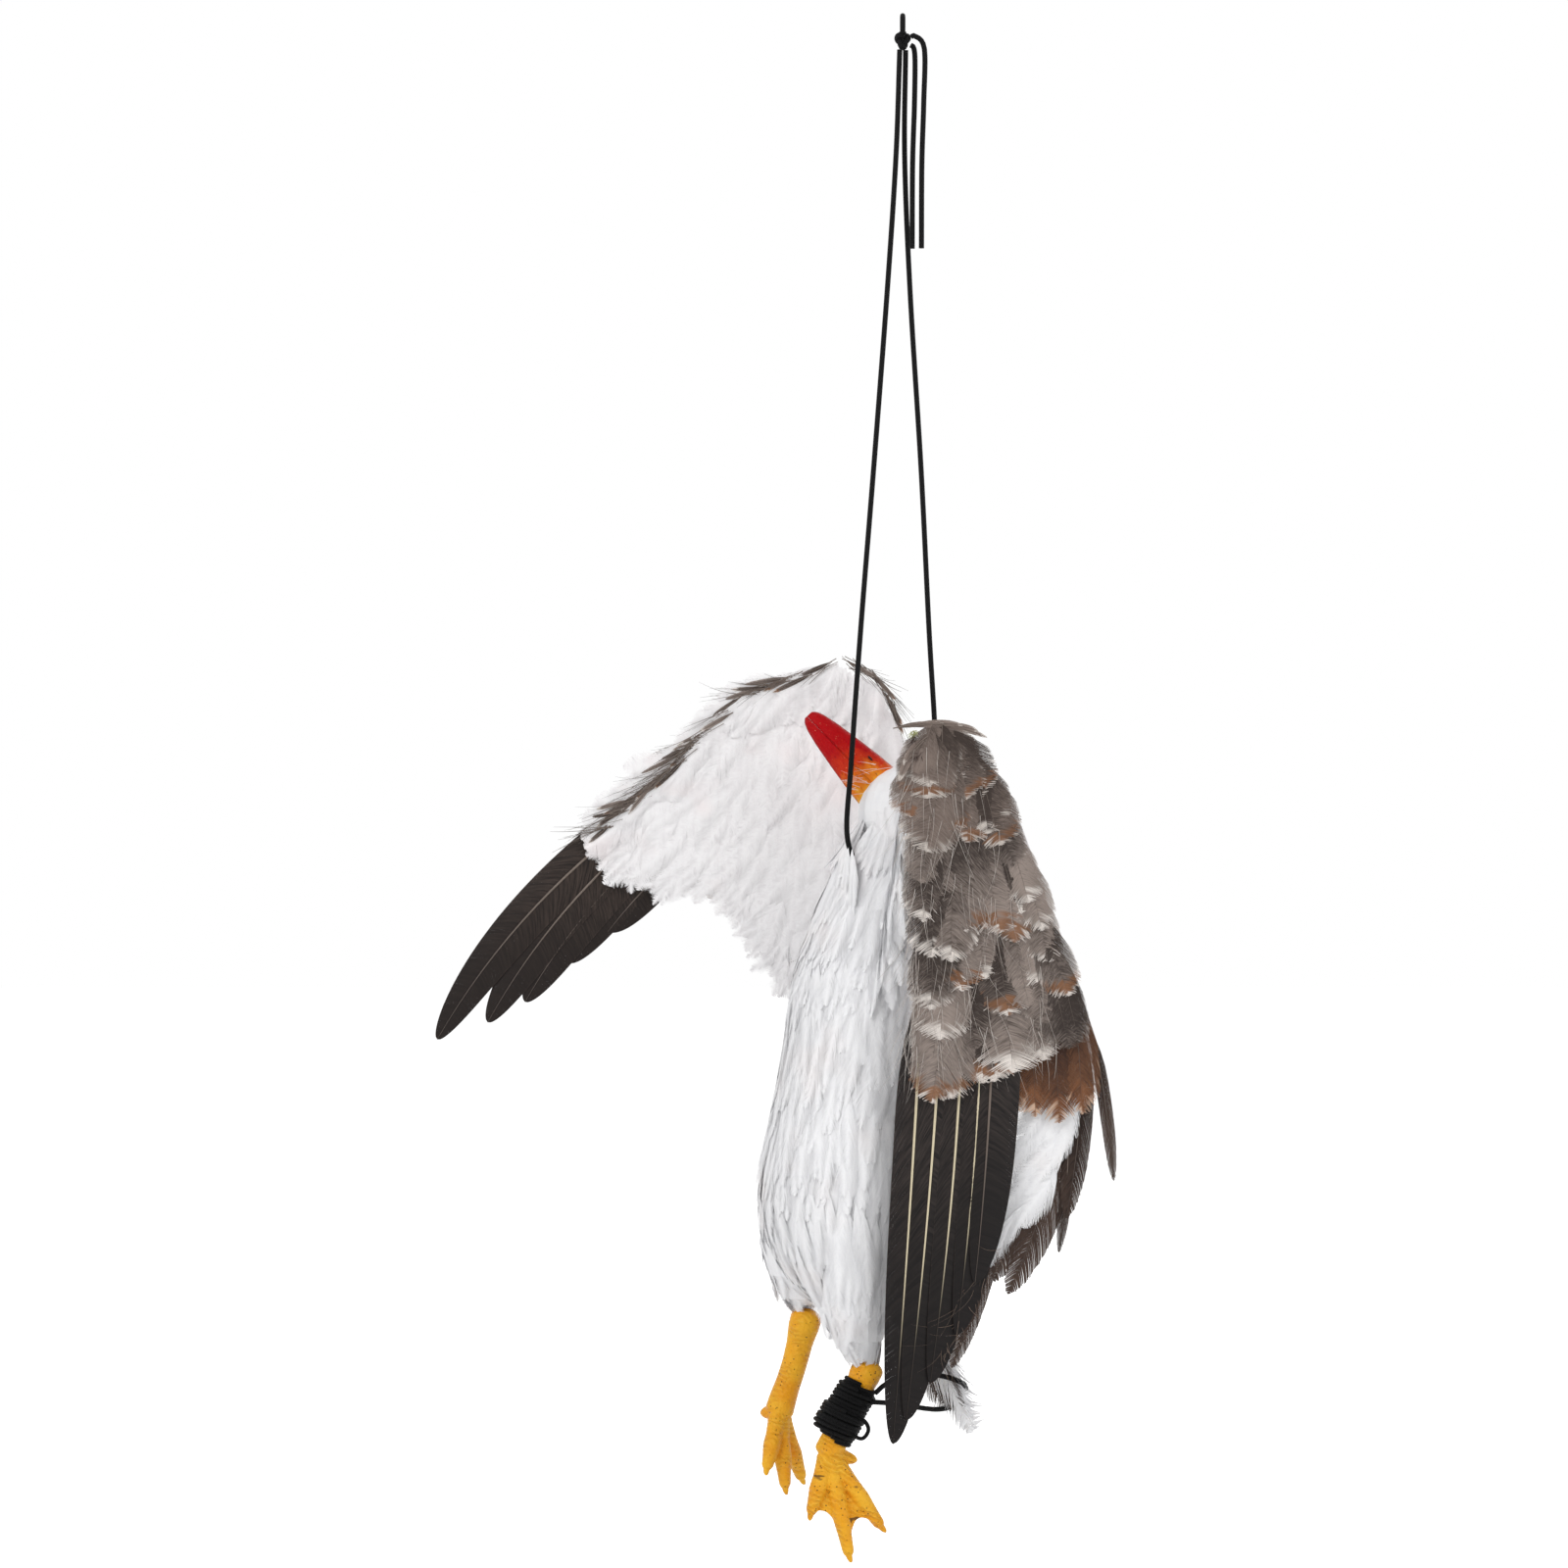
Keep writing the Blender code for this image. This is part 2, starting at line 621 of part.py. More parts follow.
def wrap_points():
    """The cord's helix round the shank; its ends run straight off, square to the shank."""
    along = (NEAR_ANKLE - NEAR_KNEE).normalized()
    across = Vector((0.0, -1.0, 0.0))
    side = along.cross(across).normalized()
    radius = LEG_RADIUS + GAP + WRAP_CORD_D / 2
    points = []
    count = WRAP_TURNS * 24
    for step in range(count + 1):
        turn = 2 * pi * step / 24
        centre = NEAR_KNEE + along * (WRAP_START + WRAP_PITCH * step / 24)
        points.append(centre + (across * cos(turn) + side * sin(turn)) * radius)
    first, last = points[0] - side * WRAP_CORD_D, points[-1] + side * WRAP_CORD_D
    return [first, *points, last]


def make_wrap(parent):
    wrap = tube("leg_wrap", wrap_points(), WRAP_CORD_D / 2, resolution=1)
    finish_piece(wrap, "leg_wrap", "cord_black", parent)


def make_tie_cord(parent):
    """From the wrap behind the near wing's tip, round the tail and back to the wrap."""
    chosen = [Vector((-0.0133, -0.0244, -0.6424)), Vector((-0.0078, -0.0260, -0.6378)),
              Vector((0.0030, -0.0255, -0.6350)), Vector((0.0140, -0.0200, -0.6345)),
              Vector((0.0210, -0.0169, -0.6360)), Vector((0.0262, -0.0158, -0.6380)),
              Vector((0.0286, -0.0095, -0.6400)), Vector((0.0290, 0.0000, -0.6420)),
              Vector((0.0300, 0.0095, -0.6440)), Vector((0.0280, 0.0160, -0.6460)),
              Vector((0.0240, 0.0160, -0.6480)), Vector((0.0230, 0.0090, -0.6500)),
              Vector((0.0225, 0.0000, -0.6515)), Vector((0.0150, -0.0110, -0.6515)),
              Vector((0.0030, -0.0200, -0.6490)), Vector((-0.0072, -0.0245, -0.6470)),
              Vector((-0.0152, -0.0244, -0.6465))]
    cord = tube("tie_cord", smooth_route(chosen, 0.0045), WRAP_CORD_D / 2)
    finish_piece(cord, "tie_cord", "cord_black", parent)


# Tail
def tail_frame(parent):
    """Local x runs across the tail, local y down it and local z out of its back."""
    down = (TAIL_TIP - TAIL_ROOT).normalized()
    across = Vector((0.0, 1.0, 0.0))
    turn = Matrix((across, down, across.cross(down))).transposed()
    return empty("tail_frame", TAIL_ROOT, parent, turn)


def blade(length, width, root_width=0.0016, point=0.5):
    """A feather's outline from its quill at (0, 0) along +y to its rounded tip."""
    half = width / 2
    right = [(root_width, 0.0), (root_width, length * 0.06), (half * 0.75, length * 0.20),
             (half, length * 0.45), (half * 0.98, length * 0.72), (half * 0.78, length * 0.88),
             (half * point, length * 0.96)]
    left = [(-u, v) for u, v in reversed(right)]
    return [*right, (0.0, length), *left]


def placed(outline, root, heading):
    """The outline turned so that its +y runs along the heading (degrees from -v), then moved to root."""
    turn = radians(heading) + pi
    return [(root[0] + u * cos(turn) - v * sin(turn), root[1] + u * sin(turn) + v * cos(turn))
            for u, v in outline]


def make_tail(parent):
    frame = tail_frame(parent)
    length = (TAIL_TIP - TAIL_ROOT).length
    block = plate("tail_block", [(-0.010, 0.006), (0.010, 0.006), (0.008, 0.040), (-0.008, 0.040)],
                  0.009, frame, 0.0)
    block = as_mesh(block)
    cut(block, body_ball("tail_seat", GAP, CUTTERS))
    finish_piece(block, "tail_block", "foam", parent)
    depth = 0.0045 + GAP + PLATE / 2
    for index, (name, angle) in enumerate((("tail_feather_mid", 0.0), ("tail_feather_near", TAIL_FAN),
                                           ("tail_feather_far", -TAIL_FAN))):
        shape = placed(blade(length - TAIL_QUILL - 0.004 * (index > 0), TAIL_WIDTH), (0.0, TAIL_QUILL),
                       180 + angle * 180 / pi)
        feather = plate(name, shape, PLATE, frame, -depth - index * LAYER)
        finish_piece(feather, name, "feather_dark", parent)


# Wings
def wing_frame(name, place, tilt, parent):
    """Local x runs across the picture, local y up and local z towards the viewer."""
    turn = Matrix.Rotation(tilt, 4, "Z") @ Matrix.Rotation(pi / 2, 4, "X")
    return empty(name, place, parent, turn)


def scallops(top, left, right, tips, depth):
    """A row of overlapping feathers: a straight top edge, slanted sides and rounded tips below."""
    outline = [top[0], left]
    for index in range(tips):
        start = Vector(left).lerp(Vector(right), index / tips)
        end = Vector(left).lerp(Vector(right), (index + 1) / tips)
        across = end - start
        down = Vector((across.y, -across.x)).normalized() * depth
        for share, drop in ((0.2, 0.72), (0.5, 1.0), (0.8, 0.72)):
            point = start + across * share + down * drop
            outline.append((point.x, point.y))
        outline.append((end.x, end.y))
    return [*outline, top[1]]


def make_plate(name, outline, slot, frame, depth, parent, thickness=PLATE):
    made = plate(name, outline, thickness, frame, depth)
    return finish_piece(made, name, slot, parent)


def strip(root, tip, width, point=0.5):
    """A feather's outline from its root to its tip, both in the wing's plane."""
    run = Vector(tip) - Vector(root)
    heading = atan2(run.x, -run.y) * 180 / pi
    return placed(blade(run.length, width, point=point), root, heading)


NEAR_BOARD = ((-0.006, 0.006), (0.028, 0.006), (0.052, -0.018), (0.066, -0.062), (0.070, -0.118),
              (0.030, -0.140), (0.002, -0.120), (-0.004, -0.050))
NEAR_HAND = ((0.006, -0.026), (0.022, -0.022), (0.046, -0.075), (0.050, -0.130), (0.012, -0.140),
             (0.000, -0.100))
NEAR_LINING = ((0.006, 0.010), (0.032, 0.010), (0.058, -0.016), (0.074, -0.060), (0.082, -0.130),
               (0.072, -0.166), (0.050, -0.150), (0.040, -0.168), (0.018, -0.150), (0.006, -0.100))
NEAR_ROWS = (
    ("near_covert_row_1", ((-0.010, 0.010), (0.030, 0.011)), (-0.012, -0.030), (0.052, -0.036), 5, 0.012),
    ("near_covert_row_2", ((-0.009, -0.022), (0.042, -0.014)), (-0.009, -0.066), (0.070, -0.070), 6, 0.012),
    ("near_covert_row_3", ((-0.007, -0.055), (0.062, -0.040)), (-0.006, -0.104), (0.079, -0.108), 7, 0.014),
    ("near_covert_row_4", ((-0.004, -0.094), (0.074, -0.086)), (-0.005, -0.146), (0.058, -0.148), 6, 0.014),
)
NEAR_PRIMARIES = (((0.004, -0.100), (-0.0075, -NEAR_WING_DROP), 0.017),
                  ((0.010, -0.100), (0.0070, -NEAR_WING_DROP + 0.017), 0.018),
                  ((0.018, -0.098), (0.0195, -NEAR_WING_DROP + 0.040), 0.018),
                  ((0.026, -0.096), (0.0300, -NEAR_WING_DROP + 0.059), 0.018),
                  ((0.034, -0.094), (0.0375, -NEAR_WING_DROP + 0.092), 0.018))
FAR_BOARD = ((-0.004, -0.010), (0.010, 0.060), (-0.004, 0.084), (-0.034, 0.082), (-0.070, 0.056),
             (-0.100, 0.024), (-0.096, 0.002), (-0.050, -0.016), (-0.020, -0.040))
FAR_HAND = ((-0.014, 0.070), (-0.032, 0.080), (-0.080, 0.044), (-0.106, 0.016), (-0.098, 0.000),
            (-0.074, 0.014), (-0.030, 0.052))
FAR_LINING_UPPER = ((0.024, 0.068), (0.016, 0.086), (0.003, 0.092), (-0.014, 0.091), (-0.028, 0.085),
                    (-0.046, 0.074), (-0.062, 0.058), (-0.088, 0.034), (-0.102, 0.024), (-0.116, 0.010),
                    (-0.098, 0.002), (-0.084, 0.008), (-0.070, 0.016), (-0.052, 0.020), (-0.034, 0.020),
                    (-0.012, 0.028), (0.006, 0.034), (0.016, 0.040))
FAR_LINING_LOWER = ((-0.108, 0.014), (-0.060, 0.036), (-0.020, 0.046), (0.012, 0.042), (0.008, 0.008),
                    (0.005, 0.001), (-0.007, -0.008), (-0.013, -0.036), (-0.023, -0.061), (-0.030, -0.052),
                    (-0.036, -0.040), (-0.044, -0.030), (-0.050, -0.020), (-0.056, -0.013), (-0.066, -0.008),
                    (-0.076, -0.013), (-0.090, -0.009), (-0.102, -0.004), (-0.112, 0.004))
FAR_ROWS = (
    ("far_covert_row_1", ((-0.036, 0.088), (0.020, 0.082)), (-0.058, 0.044), (0.014, 0.010), 5, 0.013),
    ("far_covert_row_2", ((-0.086, 0.044), (-0.044, 0.080)), (-0.118, 0.010), (-0.052, 0.018), 5, 0.012),
)
FAR_PRIMARIES = (((-0.078, 0.036), (-FAR_WING_REACH, -0.0800), 0.021),
                 ((-0.078, 0.028), (-FAR_WING_REACH + 0.023, -0.0700), 0.020),
                 ((-0.076, 0.022), (-FAR_WING_REACH + 0.039, -0.0580), 0.019),
                 ((-0.072, 0.018), (-0.1200, -0.0340), 0.018))


def stack(first, index):
    """The middle depth of a layer, counted from the first."""
    return first + LAYER * index


def hole(frame, place, radius, deep):
    bm = bmesh.new()
    bmesh.ops.create_cone(bm, cap_ends=True, segments=16, radius1=radius, radius2=radius, depth=deep)
    item = link_mesh(bm, "wrist_hole", CUTTERS)
    item.matrix_world = frame.matrix_world @ Matrix.Translation((place[0], place[1], 0.0))
    return item


def make_pad(name, outline, wire, frame, parent):
    pad = as_mesh(plate(name, outline, PAD, frame, 0.0))
    cut(pad, bore(lengthened(wire_paths()[wire][-2:], 0.004)))
    return finish_piece(pad, name, "felt", parent)


def make_wrist_pin(name, frame, place, low, high, parent):
    bm = bmesh.new()
    bmesh.ops.create_cone(bm, cap_ends=True, segments=16, radius1=WRIST_PIN_R, radius2=WRIST_PIN_R,
                          depth=high - low)
    item = link_mesh(bm, name, PARTS)
    item.matrix_world = frame.matrix_world @ Matrix.Translation((place[0], place[1], (low + high) / 2))
    soften(item)
    return finish_piece(item, name, "steel_wire", parent)


def make_near_wing(bird):
    frame = wing_frame("near_wing_lift", NEAR_HINGE, NEAR_TILT, bird)
    pad_face = PAD / 2 + GAP
    pad_outline = [(0.0042, 0.0075), (0.026, 0.0075), (0.028, -0.012), (0.0042, -0.014)]
    make_pad("near_root_pad", pad_outline, "near_wing_wire", frame, frame)
    board = pad_face + BOARD / 2
    make_plate("near_arm_board", NEAR_BOARD, "felt", frame, board, frame, BOARD)
    first = pad_face + BOARD + GAP + PLATE / 2
    for index, (name, top, left, right, tips, depth) in enumerate(reversed(NEAR_ROWS)):
        make_plate(name, scallops(top, left, right, tips, depth), "feather_grey", frame,
                   stack(first, index + 1), frame)
    lining = -PAD / 2 - GAP - PLATE / 2
    make_plate("near_lining", NEAR_LINING, "feather_white", frame, lining, frame)
    brown = scallops(((0.040, -0.110), (0.076, -0.104)), (0.036, -0.158), (0.087, -0.160), 3, 0.010)
    make_plate("near_tertials", brown, "feather_brown", frame, first, frame)
    patch = strip((0.072, -0.130), (0.044, -0.196), 0.034, 0.6)
    make_plate("near_white_patch", patch, "feather_white", frame, lining - LAYER, frame)
    dark = strip((0.078, -0.140), (0.052, -0.236), 0.020, 0.6)
    make_plate("near_dark_tertial", dark, "feather_brown", frame, lining - 2 * LAYER, frame)
    hand = wing_frame("near_wing_wrist", frame.matrix_world @ Vector((*NEAR_WRIST, 0.0)), NEAR_TILT, frame)
    hand_depth = -PAD / 2 + BOARD / 2
    hand_board = as_mesh(plate("near_hand_board", NEAR_HAND, BOARD, frame, hand_depth))
    cut(hand_board, hole(frame, NEAR_WRIST, WRIST_PIN_R + GAP, 0.03))
    finish_piece(hand_board, "near_hand_board", "felt", hand)
    make_wrist_pin("near_wrist_pin", frame, NEAR_WRIST, -PAD / 2, PAD / 2, frame)
    first = hand_depth + BOARD / 2 + GAP + PLATE / 2
    for index, (root, tip, width) in enumerate(NEAR_PRIMARIES):
        name = f"near_primary_{index + 1}"
        make_plate(name, strip(root, tip, width), "feather_dark", frame, stack(first, index), hand)


def make_far_wing(bird):
    frame = wing_frame("far_wing_flap", FAR_HINGE, 0.0, bird)
    pad_face = PAD / 2 + GAP
    axis = (FAR_HINGE_UP.x, FAR_HINGE_UP.z)
    across = Vector((-axis[1], axis[0]))
    run = Vector(axis)
    corners = [run * 0.003 + across * 0.012, run * 0.003 - across * 0.008,
               run * 0.026 - across * 0.008, run * 0.026 + across * 0.012]
    make_pad("far_root_pad", [(c.x, c.y) for c in corners], "far_wing_wire", frame, frame)
    board = -pad_face - BOARD / 2
    make_plate("far_arm_board", FAR_BOARD, "felt", frame, board, frame, BOARD)
    behind = -pad_face - BOARD - GAP - PLATE / 2
    for index, (name, top, left, right, tips, depth) in enumerate(reversed(FAR_ROWS)):
        make_plate(name, scallops(top, left, right, tips, depth), "feather_grey", frame,
                   stack(behind, -index), frame)
    lining = pad_face + PLATE / 2
    make_plate("far_lining_lower", FAR_LINING_LOWER, "feather_white", frame, lining, frame)
    make_plate("far_lining_upper", FAR_LINING_UPPER, "feather_white", frame, stack(lining, 1), frame)
    hand = wing_frame("far_wing_wrist", frame.matrix_world @ Vector((*FAR_WRIST, 0.0)), 0.0, frame)
    hand_depth = -pad_face + GAP + BOARD / 2
    hand_board = as_mesh(plate("far_hand_board", FAR_HAND, BOARD, frame, hand_depth))
    cut(hand_board, hole(frame, FAR_WRIST, WRIST_PIN_R + GAP, CUT_REACH))
    finish_piece(hand_board, "far_hand_board", "felt", hand)
    make_wrist_pin("far_wrist_pin", frame, FAR_WRIST, -PAD / 2, PAD / 2, frame)
    first = hand_depth + BOARD / 2 + GAP + PLATE / 2
    for index, (root, tip, width) in enumerate(reversed(FAR_PRIMARIES)):
        name = f"far_primary_{len(FAR_PRIMARIES) - index}"
        make_plate(name, strip(root, tip, width), "feather_dark", frame, stack(first, index), hand)


bird_pivot = empty("body_rock", NOOSE_CENTRE)
head_pivot = empty("head_nod", HEAD_CENTRE, bird_pivot)
leg_pivot = empty("free_leg_swing", FAR_KNEE, bird_pivot)
make_hang_loop()
make_loop_knot()
make_strands()
make_noose()
make_cord_tails()
make_wires(bird_pivot)
make_body(bird_pivot)
make_neck(bird_pivot)
make_thigh("near_thigh", NEAR_THIGH, "tied_leg_wire", NEAR_KNEE, bird_pivot)
make_thigh("far_thigh", FAR_THIGH, "free_leg_wire", FAR_KNEE, bird_pivot)
make_head(head_pivot)
make_beak(head_pivot)
make_tied_leg(bird_pivot)
make_free_leg(leg_pivot)
make_wrap(bird_pivot)
make_tie_cord(bird_pivot)
make_tail(bird_pivot)
make_near_wing(bird_pivot)
make_far_wing(bird_pivot)
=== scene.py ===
# Looks of the dead gull decoy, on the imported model's frame.
# Metres, +Z up. The bird's left side faces -Y, its breast faces -X and its back +X.

from math import cos, pi, radians, sin

import bpy
import numpy as np
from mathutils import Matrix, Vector
from mathutils.bvhtree import BVHTree


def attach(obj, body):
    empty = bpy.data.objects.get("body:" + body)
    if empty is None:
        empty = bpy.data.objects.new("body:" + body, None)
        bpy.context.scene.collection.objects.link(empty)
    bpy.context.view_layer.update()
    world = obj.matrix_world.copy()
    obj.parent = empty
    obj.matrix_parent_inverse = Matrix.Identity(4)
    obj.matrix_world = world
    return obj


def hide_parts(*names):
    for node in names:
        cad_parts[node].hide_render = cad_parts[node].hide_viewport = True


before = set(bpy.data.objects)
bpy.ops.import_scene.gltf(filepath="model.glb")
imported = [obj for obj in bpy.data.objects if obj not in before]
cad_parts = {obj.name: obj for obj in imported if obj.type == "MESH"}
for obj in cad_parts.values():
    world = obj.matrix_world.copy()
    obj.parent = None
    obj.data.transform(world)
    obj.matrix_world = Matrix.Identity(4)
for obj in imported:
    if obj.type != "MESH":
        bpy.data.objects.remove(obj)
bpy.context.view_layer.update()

# Cord, as in the part's source
CORD_D = 0.0025
TIE_CORD_D = 0.0024
WINDING_D = 0.0019
LOOP_WIDTH = 0.009
KNOT_RADIUS = 0.0042
KNOT_Z = -0.0103
GAP = 0.0003
NOOSE_CENTRE = Vector((-0.006, 0.0, -0.404))
NOOSE_RADIUS = 0.01845
HEAD_CENTRE = Vector((0.0, 0.0, -0.372))
HEAD_RADIUS = 0.021
BEAK_TILT = radians(-44)
NEAR_KNEE = Vector((-0.0165, -0.020, -0.631))
NEAR_ANKLE = Vector((-0.0350, -0.020, -0.6705))
FAR_KNEE = Vector((-0.0450, 0.018, -0.611))
FAR_ANKLE = Vector((-0.0580, 0.018, -0.656))
COAT_SPLIT_X = -0.026
NEAR_HINGE = Vector((0.005, -0.0500, -0.345))
NEAR_TILT = radians(9)
FAR_HINGE = Vector((-0.032, 0.0475, -0.400))
TAIL_ROOT = Vector((-0.011, 0.0, -0.588))
TAIL_TIP = Vector((0.029, 0.0, -0.664))
ROUTE_STEP = 0.0012
BRAID_PITCH = 0.6

# Studio
CAMERA_PLACE = (-0.0557, -2.5, -0.3593)
CAMERA_LENS = 122.3
LAMP_AIM = Vector((-0.05, 0.0, -0.5))
FLOOR_Z = -0.80
FLOOR_HALF = 9.0
DOWN = (0.0, 0.0, -1.0)

rng = np.random.default_rng(11)


# Camera, light and floor
def make_camera():
    data = bpy.data.cameras.new("photo_camera")
    data.sensor_width = 36.0
    data.lens = CAMERA_LENS
    camera = bpy.data.objects.new("photo_camera", data)
    camera.location = CAMERA_PLACE
    camera.rotation_euler = (radians(90), 0.0, 0.0)
    bpy.context.scene.collection.objects.link(camera)
    bpy.context.scene.camera = camera


def make_lamp(name, place, size, watts):
    data = bpy.data.lights.new(name, "AREA")
    data.size = size
    data.energy = watts
    lamp = bpy.data.objects.new(name, data)
    lamp.location = place
    aim = LAMP_AIM - Vector(place)
    lamp.rotation_euler = aim.to_track_quat("-Z", "Y").to_euler()
    bpy.context.scene.collection.objects.link(lamp)


def seen_directly(tree):
    """1 for camera, mirror and glass rays, 0 for the rays that light the object."""
    path = tree.nodes.new("ShaderNodeLightPath")
    both = tree.nodes.new("ShaderNodeMath")
    both.operation = "MAXIMUM"
    tree.links.new(path.outputs["Is Camera Ray"], both.inputs[0])
    tree.links.new(path.outputs["Is Glossy Ray"], both.inputs[1])
    every = tree.nodes.new("ShaderNodeMath")
    every.operation = "MAXIMUM"
    tree.links.new(both.outputs[0], every.inputs[0])
    tree.links.new(path.outputs["Is Transmission Ray"], every.inputs[1])
    return every.outputs[0]


def make_world():
    world = bpy.data.worlds.new("white_studio")
    world.use_nodes = True
    tree = world.node_tree
    light = tree.nodes["Background"]
    light.inputs["Color"].default_value = (1.0, 1.0, 1.0, 1.0)
    light.inputs["Strength"].default_value = 0.55
    shown = tree.nodes.new("ShaderNodeBackground")
    shown.inputs["Strength"].default_value = 1.0
    shown.inputs["Color"].default_value = (1.0, 1.0, 1.0, 1.0)
    mix = tree.nodes.new("ShaderNodeMixShader")
    tree.links.new(seen_directly(tree), mix.inputs[0])
    tree.links.new(light.outputs[0], mix.inputs[1])
    tree.links.new(shown.outputs[0], mix.inputs[2])
    tree.links.new(mix.outputs[0], tree.nodes["World Output"].inputs["Surface"])
    bpy.context.scene.world = world


def make_floor():
    mesh = bpy.data.meshes.new("studio_floor")
    corners = [(x * FLOOR_HALF, y * FLOOR_HALF, FLOOR_Z) for x, y in ((-1, -1), (1, -1), (1, 1), (-1, 1))]
    mesh.from_pydata(corners, [], [(0, 1, 2, 3)])
    floor = bpy.data.objects.new("studio_floor", mesh)
    bpy.context.scene.collection.objects.link(floor)
    made = bpy.data.materials.new("studio_floor")
    made.use_nodes = True
    tree = made.node_tree
    tree.nodes.remove(tree.nodes["Principled BSDF"])
    matt = tree.nodes.new("ShaderNodeBsdfDiffuse")
    matt.inputs["Color"].default_value = (0.82, 0.82, 0.82, 1.0)
    glow = tree.nodes.new("ShaderNodeEmission")
    lift = tree.nodes.new("ShaderNodeMath")
    lift.operation = "MULTIPLY"
    lift.inputs[1].default_value = 0.62
    tree.links.new(seen_directly(tree), lift.inputs[0])
    tree.links.new(lift.outputs[0], glow.inputs["Strength"])
    both = tree.nodes.new("ShaderNodeAddShader")
    tree.links.new(matt.outputs[0], both.inputs[0])
    tree.links.new(glow.outputs[0], both.inputs[1])
    tree.links.new(both.outputs[0], tree.nodes["Material Output"].inputs["Surface"])
    mesh.materials.append(made)


bpy.context.scene.view_settings.view_transform = "Standard"
make_camera()
make_world()
make_floor()
make_lamp("key_lamp", (-1.4, -1.9, 0.7), 1.4, 26.0)
make_lamp("fill_lamp", (1.8, -1.7, 0.1), 1.6, 15.0)
make_lamp("back_lamp", (0.6, 2.2, 0.8), 1.6, 18.0)


# Materials
class Paint:
    """One procedural material, built up from small steps."""

    def __init__(self, name, roughness=0.8, specular=0.15, metallic=0.0):
        self.material = bpy.data.materials.new(name)
        self.material.use_nodes = True
        self.tree = self.material.node_tree
        self.shader = self.tree.nodes["Principled BSDF"]
        self.shader.inputs["Roughness"].default_value = roughness
        self.shader.inputs["Specular IOR Level"].default_value = specular
        self.shader.inputs["Metallic"].default_value = metallic

    def feed(self, value, socket):
        if isinstance(value, bpy.types.NodeSocket):
            self.tree.links.new(value, socket)
        else:
            socket.default_value = value

    def uv(self, layer):
        node = self.tree.nodes.new("ShaderNodeUVMap")
        node.uv_map = layer
        return self.parts(node.outputs[0])

    def place(self):
        return self.tree.nodes.new("ShaderNodeTexCoord").outputs["Object"]

    def parts(self, vector):
        node = self.tree.nodes.new("ShaderNodeSeparateXYZ")
        self.tree.links.new(vector, node.inputs[0])
        return node.outputs

    def vector(self, x, y, z=0.0):
        node = self.tree.nodes.new("ShaderNodeCombineXYZ")
        for value, socket in zip((x, y, z), node.inputs):
            self.feed(value, socket)
        return node.outputs[0]

    def sum(self, operation, a, b=0.0):
        node = self.tree.nodes.new("ShaderNodeMath")
        node.operation = operation
        self.feed(a, node.inputs[0])
        self.feed(b, node.inputs[1])
        return node.outputs[0]

    def plus(self, a, b):
        return self.sum("ADD", a, b)

    def minus(self, a, b):
        return self.sum("SUBTRACT", a, b)

    def times(self, a, b):
        return self.sum("MULTIPLY", a, b)

    def dot(self, vector, axis):
        node = self.tree.nodes.new("ShaderNodeVectorMath")
        node.operation = "DOT_PRODUCT"
        self.tree.links.new(vector, node.inputs[0])
        node.inputs[1].default_value = axis
        return node.outputs["Value"]

    def noise(self, vector, scale, detail=2.0):
        node = self.tree.nodes.new("ShaderNodeTexNoise")
        node.inputs["Scale"].default_value = scale
        node.inputs["Detail"].default_value = detail
        self.tree.links.new(vector, node.inputs["Vector"])
        return node.outputs["Fac"]

    def cells(self, vector, scale):
        node = self.tree.nodes.new("ShaderNodeTexVoronoi")
        node.inputs["Scale"].default_value = scale
        self.tree.links.new(vector, node.inputs["Vector"])
        return node.outputs["Distance"]

    def step(self, value, low, high, bottom=0.0, top=1.0):
        """value from low to high becomes bottom to top, eased at both ends."""
        node = self.tree.nodes.new("ShaderNodeMapRange")
        node.interpolation_type = "SMOOTHSTEP"
        for number, socket in zip((low, high, bottom, top), list(node.inputs)[1:5]):
            socket.default_value = number
        self.feed(value, node.inputs[0])
        return node.outputs[0]

    def mix(self, share, a, b):
        node = self.tree.nodes.new("ShaderNodeMix")
        node.data_type = "RGBA"
        self.feed(share, node.inputs[0])
        self.feed(a if isinstance(a, bpy.types.NodeSocket) else (*a, 1.0), node.inputs[6])
        self.feed(b if isinstance(b, bpy.types.NodeSocket) else (*b, 1.0), node.inputs[7])
        return node.outputs[2]

    def done(self, colour, roughness=None, height=None, distance=0.0003, strength=0.5):
        self.feed(colour, self.shader.inputs["Base Color"])
        if roughness is not None:
            self.feed(roughness, self.shader.inputs["Roughness"])
        if height is not None:
            bump = self.tree.nodes.new("ShaderNodeBump")
            bump.inputs["Strength"].default_value = strength
            bump.inputs["Distance"].default_value = distance
            self.feed(height, bump.inputs["Height"])
            self.tree.links.new(bump.outputs[0], self.shader.inputs["Normal"])
        return self.material


def vane_facts(paint):
    """A feather's own coordinates: share of the way to its edge, along it, and its two random tones."""
    across = paint.uv("Vane")
    tone = paint.uv("Tone")
    edge = paint.times(paint.sum("ABSOLUTE", paint.minus(across[0], 0.5)), 2.0)
    return edge, across[1], tone[0], tone[1]


def barb_streaks(paint, along, feather, barb):
    """Fine light and dark barbs, from 0 to 1."""
    place = paint.vector(paint.times(barb, 31.0), paint.times(along, 6.0), paint.times(feather, 17.0))
    return paint.noise(place, 3.0, 3.0)


